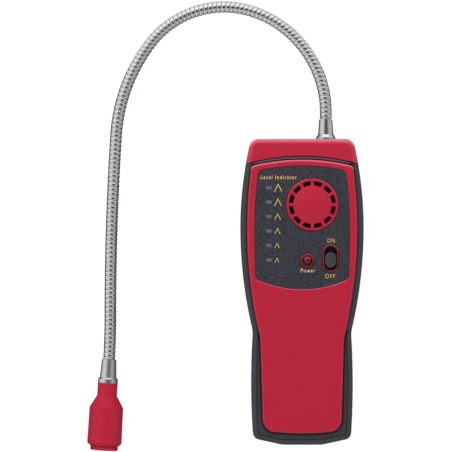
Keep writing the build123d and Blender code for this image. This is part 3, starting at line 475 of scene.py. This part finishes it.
def grained(
    name,
    colour,
    tint,
    roughness,
    spread,
    size,
    depth,
    metallic=0.0,
    coat=0.0,
    specular=0.5,
    lips=None,
    side=None,
    shade_below=None,
):
    """Material of one colour with moulded grain. Tint and spread are how much the grain changes the colour
    and the roughness, and size and depth are the grain's own, in millimetres. Lips is painted shade: the
    colour of raised lips, with their places. Side is painted light: the two colours of rounded edges, in
    shade and towards the light. Below is painted shade: the colour low on the object, with the two heights
    between which it gives way."""
    material, tree, shader = new_material(name)
    tone = (*colour, 1.0)
    if lips:
        shade, places = lips
        for x, y, half, reach in places:
            lip = use_group(tree, lip_group(), Centre_X=x, Centre_Y=y, Half_Length=half, Reach=reach)
            tone = blend(tree, lip["Mask"], tone, (*shade, 1.0))
    if side:
        shade, lit = side
        slope = use_group(tree, painted_light_slope_group(), Face=tone, Side=(*shade, 1.0), Lit=(*lit, 1.0))
        tone = slope["Colour"]
    if shade_below:
        shade, start, end = shade_below
        height = use_group(tree, painted_light_height_group(), Below=(*shade, 1.0), Above=tone, From=start, To=end)
        tone = height["Colour"]
    grain = use_group(
        tree,
        grain_group(),
        Colour=tone,
        Tint=tint,
        Roughness=roughness,
        Roughness_Spread=spread,
        Grain_Size=size,
        Grain_Depth=depth,
    )
    tree.links.new(grain["Colour"], shader.inputs["Base Color"])
    tree.links.new(grain["Roughness"], shader.inputs["Roughness"])
    tree.links.new(grain["Normal"], shader.inputs["Normal"])
    shader.inputs["Metallic"].default_value = metallic
    shader.inputs["Coat Weight"].default_value = coat
    shader.inputs["Coat Roughness"].default_value = 0.2
    shader.inputs["Specular IOR Level"].default_value = specular
    return material


def dress(material, *names):
    """Give CAD nodes a material."""
    for name in names:
        for slot in NODES[name].material_slots:
            slot.material = material


def top_loops(node):
    """Loops of points round a flat plate's top face and its holes, each with the face on its left. They
    are the edges that only one of the top face's triangles has."""
    close = 0.001 * MM
    merged = bmesh.new()
    merged.from_mesh(node.data)
    bmesh.ops.remove_doubles(merged, verts=merged.verts, dist=close)
    top = max(vertex.co.z for vertex in merged.verts)
    after = {}
    for face in merged.faces:
        if face.calc_center_median().z < top - close:
            continue
        for corner in face.loops:
            others = [other for other in corner.edge.link_faces if other is not face]
            if others and others[0].calc_center_median().z < top - close:
                after[corner.vert.index] = corner.link_loop_next.vert.index
    places = {vertex.index: tuple(vertex.co) for vertex in merged.verts}
    merged.free()
    loops = []
    while after:
        start = min(after)
        loop = []
        here = start
        while here in after:
            loop.append(places[here])
            here = after.pop(here)
        loops.append(np.array(loop))
    return loops


def edge_strip(name, loop, width, material):
    """Narrow flat strip on a plate, inside a loop round its edge. Each inner point is its outer point moved
    inwards, halfway between the normals of the two edges that meet there, by the width over the cosine of
    half their turn."""
    lift = 0.02 * MM
    least = 0.5
    ahead = np.roll(loop, -1, axis=0) - loop
    ahead /= np.linalg.norm(ahead, axis=1)[:, None]
    behind = np.roll(ahead, 1, axis=0)
    inward = np.stack((-ahead[:, 1] - behind[:, 1], ahead[:, 0] + behind[:, 0]), axis=1)
    inward /= np.linalg.norm(inward, axis=1)[:, None]
    lean = inward[:, 1] * ahead[:, 0] - inward[:, 0] * ahead[:, 1]
    inner = loop[:, :2] + inward * (width / np.clip(lean, least, 1.0))[:, None]
    level = np.full((2, len(loop), 1), loop[0, 2] + lift)
    points = np.concatenate((np.stack((loop[:, :2], inner)), level), axis=2)
    piece_from_grid(name, points, True, material, "case")


def piece_from_grid(name, points, closed_across, material, body):
    """Piece whose surface is a grid of points, with rows along it and columns across it."""
    rows, columns = points.shape[:2]
    index = np.arange(rows * columns).reshape(rows, columns)
    if closed_across:
        right = np.roll(index, -1, axis=1)
    else:
        right = index[:, 1:]
        index = index[:, :-1]
    quads = np.stack((index[:-1], right[:-1], right[1:], index[1:]), axis=-1).reshape(-1, 4)
    mesh = bpy.data.meshes.new(name)
    mesh.from_pydata(points.reshape(-1, 3).tolist(), [], quads.tolist())
    mesh.polygons.foreach_set("use_smooth", np.ones(len(mesh.polygons), bool))
    mesh.update()
    mesh.materials.append(material)
    return add_piece(name, mesh, body)


def add_piece(name, mesh, body):
    """Object for a finished mesh, riding on a body."""
    piece = bpy.data.objects.new(name, mesh)
    bpy.context.scene.collection.objects.link(piece)
    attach(piece, body)
    return piece


# Stage


class DETECTOR_OT_stage(bpy.types.Operator):
    """Pale floor, soft lights and a camera straight above"""

    bl_idname = "detector.stage"
    bl_label = "Stage"

    def execute(self, context):
        scene = context.scene
        scene.view_settings.view_transform = "Standard"
        self.make_world(scene)
        self.make_floor(scene)
        self.make_lights(scene)
        self.make_camera(scene)
        return {"FINISHED"}

    def make_world(self, scene):
        """White where the camera looks, the studio's surround in mirrors, plain grey light elsewhere."""
        light_level = 0.42
        world = bpy.data.worlds.new("Studio")
        scene.world = world
        world.use_nodes = True
        tree = world.node_tree
        tree.nodes.clear()
        output = tree.nodes.new("ShaderNodeOutputWorld")
        light, mirrored, seen = (tree.nodes.new("ShaderNodeBackground") for part in range(3))
        light.inputs["Color"].default_value = (1.0, 1.0, 1.0, 1.0)
        light.inputs["Strength"].default_value = light_level
        tree.links.new(use_group(tree, surround_group())["Brightness"], mirrored.inputs["Color"])
        seen.inputs["Color"].default_value = (1.0, 1.0, 1.0, 1.0)
        path = tree.nodes.new("ShaderNodeLightPath")
        shown = light.outputs[0]
        rays = (("Is Glossy Ray", mirrored), ("Is Transmission Ray", seen), ("Is Camera Ray", seen))
        for kind, source in rays:
            mix = tree.nodes.new("ShaderNodeMixShader")
            tree.links.new(path.outputs[kind], mix.inputs["Fac"])
            tree.links.new(shown, mix.inputs[1])
            tree.links.new(source.outputs[0], mix.inputs[2])
            shown = mix.outputs[0]
        tree.links.new(shown, output.inputs["Surface"])

    def make_floor(self, scene):
        """Large disc under the detector, white to the camera, that keeps soft shadows. A mirror sees it
        with painted shade: dark where it looks steeply down, where the detector stands in its own light,
        and pale where it looks far out, or under the neck's bend and past it."""
        corners = 64
        reach = 3.0
        level = -0.0002
        turn = np.linspace(0.0, 2.0 * np.pi, corners, endpoint=False)
        rim = np.stack((reach * np.cos(turn), reach * np.sin(turn), np.full(corners, level)), axis=1)
        mesh = bpy.data.meshes.new("floor")
        mesh.from_pydata(rim.tolist(), [], [list(range(corners))])
        floor = bpy.data.objects.new("floor", mesh)
        scene.collection.objects.link(floor)
        material, tree, shader = new_material("Pale Floor")
        shader.inputs["Roughness"].default_value = 0.9
        shader.inputs["Specular IOR Level"].default_value = 0.1
        path = tree.nodes.new("ShaderNodeLightPath")
        slant = tree.nodes.new("ShaderNodeLayerWeight")
        place = tree.nodes.new("ShaderNodeTexCoord")
        parts = tree.nodes.new("ShaderNodeSeparateXYZ")
        tree.links.new(place.outputs["Object"], parts.inputs[0])

        grey = 0.4
        white = 0.95
        dark = 0.05
        bend_start, bend_end = 0.118, 0.136
        # Painted shade seen in mirrors: the floor dark near the detector, pale where mirrors look far out
        # or past the neck's bend.
        shallow = fade(tree, slant.outputs["Facing"], 0.5, 0.72, dark, 0.8)
        past = fade(tree, parts.outputs["Y"], bend_start, bend_end, dark, 0.88)
        mirrored = calculate(tree, "SUBTRACT", calculate(tree, "MAXIMUM", shallow, past), grey)
        tone = calculate(tree, "MULTIPLY_ADD", path.outputs["Is Glossy Ray"], mirrored, grey)
        seen = calculate(tree, "MULTIPLY", path.outputs["Is Camera Ray"], white)
        tree.links.new(calculate(tree, "MAXIMUM", tone, seen), shader.inputs["Base Color"])

        glow_strength = 1.1
        glow_share = 0.85
        glow = tree.nodes.new("ShaderNodeEmission")
        glow.inputs["Color"].default_value = (1.0, 1.0, 1.0, 1.0)
        glow.inputs["Strength"].default_value = glow_strength
        share = calculate(tree, "MULTIPLY", path.outputs["Is Camera Ray"], glow_share)
        mix = tree.nodes.new("ShaderNodeMixShader")
        tree.links.new(share, mix.inputs["Fac"])
        tree.links.new(shader.outputs["BSDF"], mix.inputs[1])
        tree.links.new(glow.outputs[0], mix.inputs[2])
        output = next(node for node in tree.nodes if node.type == "OUTPUT_MATERIAL")
        tree.links.new(mix.outputs[0], output.inputs["Surface"])
        mesh.materials.append(material)

    def make_lights(self, scene):
        """Soft boxes that mirrors don't show: a long one past the neck, one at each side, one towards the
        foot. Each is given by its place, its two sides and its watts."""
        middle = Vector((0.0, 0.03, 0.0))
        for name, place, size, watts in (
            ("Box past the neck", (-0.02, 1.1, 0.9), (1.6, 0.6), 12.0),
            ("Box at the left", (-1.1, 0.1, 0.8), (0.5, 1.4), 4.5),
            ("Box at the right", (1.1, 0.0, 0.8), (0.5, 1.4), 2.5),
            ("Box at the foot", (0.0, -1.1, 0.9), (1.4, 0.4), 3.0),
        ):
            lamp = bpy.data.lights.new(name, "AREA")
            lamp.shape = "RECTANGLE"
            lamp.size = size[0]
            lamp.size_y = size[1]
            lamp.energy = watts
            holder = bpy.data.objects.new(name, lamp)
            holder.visible_glossy = False
            holder.location = place
            aim = middle - Vector(place)
            holder.rotation_euler = aim.to_track_quat("-Z", "Y").to_euler()
            scene.collection.objects.link(holder)

    def make_camera(self, scene):
        """Camera straight above, as far as a long lens would stand."""
        stage = scene.detector_stage
        camera = bpy.data.cameras.new("Camera")
        camera.sensor_width = 36.0
        camera.sensor_fit = "HORIZONTAL"
        image_width = 452.0
        panel_height = 0.033
        pixels = stage.pixels_per_mm * (stage.distance - panel_height) / MM
        camera.lens = camera.sensor_width * pixels / image_width
        camera.clip_start = 0.05
        camera.clip_end = 10.0
        holder = bpy.data.objects.new("Camera", camera)
        holder.location = (stage.centre_x, stage.centre_y, stage.distance)
        holder.rotation_euler = (0.0, 0.0, stage.roll)
        scene.collection.objects.link(holder)
        scene.camera = holder


# Case


class DETECTOR_OT_case(bpy.types.Operator):
    """Red plastic, grip rubber, label film and the parts inside the case"""

    bl_idname = "detector.case"
    bl_label = "Case"

    def execute(self, context):
        finish = context.scene.detector_case
        self.dress_red(tuple(finish.red))
        self.dress_dark(tuple(finish.grip))
        speckled = dict(tint=3.0, roughness=0.5, spread=0.06, size=1.0, depth=0.012)
        dress(grained("Label Film", tuple(finish.label), **speckled), "panel_overlay")
        frosted = dict(tint=0.08, roughness=0.45, spread=0.05, size=0.4, depth=0.004)
        dress(grained("Frosted Window", tuple(finish.window), **frosted), "level_light_pipe")
        self.dress_lamp()
        self.dress_inside()
        self.bead()
        self.borders()
        return {"FINISHED"}

    def dress_red(self, red):
        """Red plastic: glossy on the cap and panel, and duller on the probe. Their rounded edges are
        painted: on the cap a paler painted sheen, on the panel painted shade, and on both a painted
        highlight towards the light. The lips of the lamp and switch and the floors of the slots carry
        painted shade. A lip is given by its middle, half the length of its middle line, and its reach."""
        moulded = dict(tint=0.1, spread=0.06, size=0.8, depth=0.005)
        # Painted sheen: paler colours on the cap's rounded edges, palest where they face the light.
        painted_cap_sheen = (linear(196, 52, 76), linear(220, 112, 132))
        cap = grained("Cap Plastic", red, roughness=0.42, coat=0.12, side=painted_cap_sheen, **moulded)
        dress(cap, "top_cap")
        probe = grained("Probe Plastic", red, roughness=0.5, specular=0.3, **moulded)
        dress(probe, "probe_housing", "probe_ring")
        # Painted shade on the panel's rounded edges, and a painted highlight where they face the light.
        edge = (linear(132, 18, 40), linear(224, 116, 136))
        # Painted shade low in the panel's slots, below 31.2 to 32.2 mm.
        slots = (linear(96, 12, 26), 31.2, 32.2)
        # Painted shade on the raised lips round the lamp and the switch: each is its middle, half length
        # and reach.
        lips = (linear(122, 16, 38), ((2.8, 16.7, 0.0, 3.7), (15.1, 17.9, 3.1, 4.3)))
        panel = grained(
            "Panel Plastic", red, roughness=0.38, coat=0.1, lips=lips, side=edge, shade_below=slots, **moulded
        )
        dress(panel, "front_shell")

    def dress_dark(self, grip):
        """Dark grip rubber round the panel, and the dark plastic of the rear shell and door."""
        rubber = grained("Grip Rubber", grip, tint=0.4, roughness=0.55, spread=0.08, size=0.9, depth=0.02)
        dress(rubber, "side_grip")
        shell = grained("Dark Plastic", grip, tint=0.1, roughness=0.45, spread=0.08, size=0.35, depth=0.015)
        dress(shell, "rear_shell", "battery_door")

    def dress_lamp(self):
        """Red lens: darker towards its rim, and a painted highlight on the side that faces the light."""
        middle = (*linear(104, 10, 26), 1.0)
        rim = (*linear(70, 6, 16), 1.0)
        # Painted highlight on the lens's rounded side that faces the light.
        lit = (*linear(150, 56, 72), 1.0)
        material, tree, shader = new_material("Red Lens")
        facing = tree.nodes.new("ShaderNodeLayerWeight")
        facing.inputs["Blend"].default_value = 0.4
        tone = blend(tree, facing.outputs["Facing"], middle, rim)
        slope = use_group(tree, painted_light_slope_group(), Face=tone, Side=rim, Lit=lit, From=0.7, To=0.9)
        tree.links.new(slope["Colour"], shader.inputs["Base Color"])
        shader.inputs["Roughness"].default_value = 0.12
        shader.inputs["Specular IOR Level"].default_value = 0.35
        dress(material, "power_lamp")

    def dress_inside(self):
        """Finishes for the switch, the probe's sensor and what shows when the door is off."""
        black = grained(
            "Black Plastic", linear(30, 30, 32), tint=0.1, roughness=0.4, spread=0.1, size=0.3, depth=0.01
        )
        dress(black, "switch_body", "controller_chip", "lead_socket", "sounder")
        dress(black, "sensor_base", "sensor_lead")
        thumb = grained(
            "Switch Plastic",
            linear(58, 61, 67),
            tint=0.3,
            roughness=0.42,
            spread=0.06,
            size=0.3,
            depth=0.01,
            # Painted shade on the slot's floor round the thumb, below 31.6 to 32.6 mm.
            shade_below=(linear(14, 14, 16), 31.6, 32.6),
        )
        dress(thumb, "switch_slider")
        green = grained(
            "Board",
            linear(28, 92, 58),
            tint=0.15,
            roughness=0.35,
            spread=0.05,
            size=0.4,
            depth=0.005,
            coat=0.4,
        )
        dress(green, "circuit_board")
        lamps = grained(
            "Level Lamp",
            linear(225, 220, 200),
            tint=0.05,
            roughness=0.3,
            spread=0.05,
            size=0.3,
            depth=0.002,
        )
        dress(lamps, "level_lamps")
        sleeve = grained(
            "Cell Sleeve",
            linear(56, 56, 60),
            tint=0.1,
            roughness=0.25,
            spread=0.05,
            size=0.5,
            depth=0.002,
            coat=0.5,
        )
        dress(sleeve, "cell_left", "cell_middle", "cell_right")
        nickel = grained(
            "Nickel",
            linear(196, 194, 188),
            tint=0.1,
            roughness=0.3,
            spread=0.1,
            size=0.4,
            depth=0.003,
            metallic=1.0,
        )
        contacts = [name for name in NODES if name.startswith("contact_")]
        dress(nickel, *contacts, "case_screws", "board_screws", "neck_nut", "probe_screen", "sensor_can")

    def bead(self):
        """Rounded bead of the grip in the joint under the cap: half an ellipse, swept along an arc about
        the joint's own centre, and tapered to nothing at both ends."""
        centre_y = -39.6
        radius = 110.95
        half_width = 0.85
        rise = 0.75
        sunk = 0.05
        half_reach = 27.4
        bluntness = 24
        rows, columns = 97, 13
        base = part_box("side_grip")[1].z / MM
        along = np.linspace(-1.0, 1.0, rows)
        across = np.linspace(0.0, math.pi, columns)
        taper = np.sqrt(np.clip(1.0 - np.abs(along) ** bluntness, 0.0, 1.0))
        distance = radius + half_width * np.cos(across)
        angle = (math.asin(half_reach / radius) * along)[:, None]
        points = np.empty((rows, columns, 3))
        points[..., 0] = distance * np.sin(angle)
        points[..., 1] = centre_y + distance * np.cos(angle)
        points[..., 2] = base - sunk + rise * np.sin(across) * taper[:, None]
        # Painted highlight along the bead's crest in the material's colour, with painted shade on its
        # sides.
        crest = (linear(26, 20, 24), base + 0.72 * rise, base + 0.96 * rise)
        material = grained(
            "Bead Rubber Painted Crest",
            linear(96, 88, 92),
            tint=0.1,
            roughness=0.4,
            spread=0.05,
            size=0.4,
            depth=0.01,
            shade_below=crest,
        )
        piece_from_grid("cap_bead", points * MM, False, material, "case")

    def borders(self):
        """Painted shadow: dark strips of painted shadow in the gaps between the label film and what stands
        round it, apart from the small windows, and between the grip and the front panel."""
        smallest = 5.0 * MM
        film_width = 0.24 * MM
        seam_width = 0.5 * MM
        dull = dict(tint=0.2, roughness=0.6, spread=0.05, size=0.4, depth=0.004)
        # Painted shadow along the film's edges, where it meets what stands round it.
        film = grained("Film Gap Painted Shadow", linear(58, 12, 24), **dull)
        loops = [loop for loop in top_loops(NODES["panel_overlay"]) if np.ptp(loop[:, 1]) > smallest]
        for number, loop in enumerate(loops):
            edge_strip(f"film_gap_shadow_{number + 1}", loop, film_width, film)
        # Painted shadow on the grip along its seam with the front panel.
        seam = grained("Panel Seam Painted Shadow", linear(26, 14, 20), **dull)
        opening = min(top_loops(NODES["side_grip"]), key=lambda loop: np.ptp(loop[:, 0]))
        edge_strip("panel_seam_shadow", opening, seam_width, seam)


# Neck


class DETECTOR_OT_neck(bpy.types.Operator):
    """Ridged winding of the gooseneck and its plated ferrules"""

    bl_idname = "detector.neck"
    bl_label = "Neck"

    def execute(self, context):
        sizes = context.scene.detector_neck
        steel = linear(206, 206, 209)
        plated = dict(tint=0.12, spread=0.1, size=0.6, depth=0.004, metallic=1.0)
        plate = grained("Plated Steel", steel, roughness=0.26, **plated)
        dress(plate, "neck_ferrule", "neck_core", "neck_coil")
        satin = grained("Satin Plated Steel", steel, roughness=0.38, **plated)
        dress(satin, "probe_ferrule")
        route, length = self.route()
        points, height = self.winding(sizes, route, length)
        winding = piece_from_grid("neck_winding", points, True, self.wire(steel), "neck")
        raised = winding.data.attributes.new("height", "FLOAT", "POINT")
        raised.data.foreach_set("value", height.ravel())
        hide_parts("neck_coil")
        return {"FINISHED"}

    def wire(self, steel):
        """Bright steel with painted shade in the grooves, read from the winding's own height, 0 to 1."""
        # Painted shade: darker steel in the grooves between the ridges.
        groove_shade = (*linear(128, 126, 130), 1.0)
        wire = grained(
            "Wound Wire", steel, tint=0.16, roughness=0.22, spread=0.1, size=0.5, depth=0.004, metallic=1.0
        )
        tree = wire.node_tree
        shader = next(node for node in tree.nodes if node.type == "BSDF_PRINCIPLED")
        height = tree.nodes.new("ShaderNodeAttribute")
        height.attribute_name = "height"
        grooved = fade(tree, height.outputs["Fac"], 0.05, 0.35, 0.0, 1.0)
        bright = shader.inputs["Base Color"].links[0].from_socket
        tree.links.new(blend(tree, grooved, groove_shade, bright), shader.inputs["Base Color"])
        return wire

    def route(self):
        """Middle line of the neck: a straight, then arcs, walked in small equal steps. The heading
        turns evenly along each arc, and the place is the running sum of the steps. The table's columns
        are the distance, the place and the heading."""
        spans = [(NECK_STRAIGHT, 0.0)]
        spans += [(radius * math.radians(abs(turn)), turn) for radius, turn in NECK_BENDS]
        ends = np.cumsum([0.0] + [length for length, turn in spans])
        heads = np.radians(np.cumsum([90.0] + [turn for length, turn in spans]))
        steps = 2400
        along = np.linspace(0.0, ends[-1], steps + 1)
        middle = np.interp((along[1:] + along[:-1]) / 2.0, ends, heads)
        moves = np.stack((np.cos(middle), np.sin(middle)), axis=1) * ends[-1] / steps
        places = np.vstack((NECK_START, NECK_START + np.cumsum(moves, axis=0)))
        return np.column_stack((along, places, np.interp(along, ends, heads))), ends[-1]

    def winding(self, sizes, route, length):
        """Helical ridges: a point stands at the route's place for its distance, out by a radius that
        rises and falls as half a sine wave once a pitch. Each row is one phase of the ridge, and each
        column one angle round the neck, so a row climbs by a pitch in one turn. Past both ends the radius
        drops to the core's. The second result is the ridge's height at each point, 0 to 1."""
        phases = 12
        core = 2.52
        pitch = sizes.pitch / MM
        groove = sizes.groove / MM
        crest = sizes.crest / MM
        turns = int(math.ceil(length / pitch)) + 1
        column = np.arange(sizes.around) / sizes.around
        row = np.arange(-phases, turns * phases + 1) / phases
        along = (row[:, None] + column[None, :]) * pitch
        height = np.repeat(np.sin(np.pi * np.mod(row, 1.0))[:, None], sizes.around, axis=1)
        radius = groove + (crest - groove) * height
        radius = np.where((along < 0.0) | (along > length), core, radius)
        along = np.clip(along, 0.0, length)
        x, y, heading = (np.interp(along, route[:, 0], route[:, part]) for part in (1, 2, 3))
        angle = 2.0 * np.pi * np.broadcast_to(column, along.shape)
        points = np.empty((*along.shape, 3))
        points[..., 0] = x + radius * np.cos(angle) * np.sin(heading)
        points[..., 1] = y - radius * np.cos(angle) * np.cos(heading)
        points[..., 2] = NECK_LEVEL + radius * np.sin(angle)
        return points * MM, height


# Printed marks


class DETECTOR_OT_marks(bpy.types.Operator):
    """Words and level marks printed on the label"""

    bl_idname = "detector.marks"
    bl_label = "Printed marks"

    def execute(self, context):
        marks = context.scene.detector_marks
        lift = 0.02 * MM
        ink = grained(
            "Yellow Ink", tuple(marks.ink), tint=0.1, roughness=0.5, spread=0.05, size=0.2, depth=0.002
        )
        self.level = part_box("panel_overlay")[1].z + lift
        for name, words, x, y, height, width, spacing, thinning in (
            ("word_heading", "Level Indicator", -12.5, 61.0, 2.1, 19.0, 1.3, 0.0),
            ("word_power", "Power", 3.1, 11.4, 2.0, 7.7, 1.2, 0.0),
            ("word_on", "ON", 15.3, 27.3, 2.2, 3.8, 1.2, 0.014),
            ("word_off", "OFF", 14.9, 8.4, 2.2, 5.4, 1.2, 0.014),
        ):
            mesh = self.letters(name, words, spacing, thinning)
            self.word(name, mesh, x * MM, y * MM, height * MM, width * MM, ink)
        self.level_marks(marks, ink)
        return {"FINISHED"}

    def letters(self, name, words, spacing, thinning):
        """Flat letters as a mesh. Thinning is how far each edge of a stroke draws in, as a share of the
        letters' size."""
        curve = bpy.data.curves.new(name, "FONT")
        curve.body = words
        curve.align_x = "CENTER"
        curve.resolution_u = 3
        curve.space_character = spacing
        curve.offset = -thinning
        source = bpy.data.objects.new(name + "_source", curve)
        bpy.context.scene.collection.objects.link(source)
        bpy.context.view_layer.update()
        mesh = bpy.data.meshes.new_from_object(source)
        bpy.data.objects.remove(source)
        return mesh

    def word(self, name, mesh, x, y, height, width, ink):
        """Piece for a flat word, fitted to its width and height about its middle."""
        points = np.empty(len(mesh.vertices) * 3)
        mesh.vertices.foreach_get("co", points)
        points = points.reshape(-1, 3)
        low = points.min(axis=0)
        high = points.max(axis=0)
        points[:, 0] = x + (points[:, 0] - (low[0] + high[0]) / 2.0) * width / (high[0] - low[0])
        points[:, 1] = y + (points[:, 1] - (low[1] + high[1]) / 2.0) * height / (high[1] - low[1])
        points[:, 2] = self.level
        mesh.vertices.foreach_set("co", points.ravel())
        mesh.update()
        mesh.materials.clear()
        mesh.materials.append(ink)
        add_piece(name, mesh, "case")

    def level_marks(self, marks, ink):
        """Open arrowheads beside the windows, each two equal strokes that meet at the top. They grow, and
        step to the right, from the lowest to the highest. The end windows' middles stand a little inside
        the ends of the light pipe."""
        count = 6
        inside_end = 1.6 * MM
        lowest_x = -13.4
        step_right = 0.6
        thinnest, thicker = 0.85, 0.3
        peak_depth = 1.9
        low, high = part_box("level_light_pipe")
        first = low.y + inside_end
        last = high.y - inside_end
        for index, share in enumerate(np.linspace(0.0, 1.0, count)):
            half = (marks.smallest + (marks.largest - marks.smallest) * share) / 2.0
            stroke = marks.stroke * (thinnest + thicker * share)
            x = (lowest_x + step_right * share) * MM
            y = first + (last - first) * share
            foot = half - stroke
            outer = np.array([(-half, -half), (0.0, half), (half, -half)])
            inner = np.array([(foot, -half), (0.0, half - peak_depth * stroke), (-foot, -half)])
            ring = np.vstack((outer, inner))
            points = np.column_stack((x + ring[:, 0], y + ring[:, 1], np.full(len(ring), self.level)))
            name = f"level_mark_{index + 1}"
            mesh = bpy.data.meshes.new(name)
            mesh.from_pydata(points.tolist(), [], [(1, 0, 5, 4), (1, 4, 3, 2)])
            mesh.update()
            mesh.materials.append(ink)
            add_piece(name, mesh, "case")


# Sidebar and start


class DETECTOR_PT_panel(bpy.types.Panel):
    """Sizes, colours and makers of the detector"""

    bl_label = "Gas Detector"
    bl_idname = "DETECTOR_PT_panel"
    bl_space_type = "VIEW_3D"
    bl_region_type = "UI"
    bl_category = "Detector"

    def draw(self, context):
        layout = self.layout
        scene = context.scene
        for operator, group in PANEL_ROWS:
            box = layout.box()
            box.operator(operator)
            settings = getattr(scene, group)
            for name in settings.__annotations__:
                box.prop(settings, name)


PANEL_ROWS = (
    ("detector.stage", "detector_stage"),
    ("detector.case", "detector_case"),
    ("detector.neck", "detector_neck"),
    ("detector.marks", "detector_marks"),
)

CLASSES = (
    CaseFinish,
    NeckSizes,
    PrintedMarks,
    StageSettings,
    DETECTOR_OT_stage,
    DETECTOR_OT_case,
    DETECTOR_OT_neck,
    DETECTOR_OT_marks,
    DETECTOR_PT_panel,
)


def register():
    """Add the classes and hang the settings on the scene."""
    for item in CLASSES:
        bpy.utils.register_class(item)
    bpy.types.Scene.detector_case = PointerProperty(type=CaseFinish)
    bpy.types.Scene.detector_neck = PointerProperty(type=NeckSizes)
    bpy.types.Scene.detector_marks = PointerProperty(type=PrintedMarks)
    bpy.types.Scene.detector_stage = PointerProperty(type=StageSettings)


def unregister():
    """Take the settings and the classes away again."""
    del bpy.types.Scene.detector_case
    del bpy.types.Scene.detector_neck
    del bpy.types.Scene.detector_marks
    del bpy.types.Scene.detector_stage
    for item in reversed(CLASSES):
        bpy.utils.unregister_class(item)


def main():
    """Make everything in order."""
    register()
    bpy.ops.detector.stage()
    bpy.ops.detector.case()
    bpy.ops.detector.neck()
    bpy.ops.detector.marks()


if __name__ == "__main__":
    main()
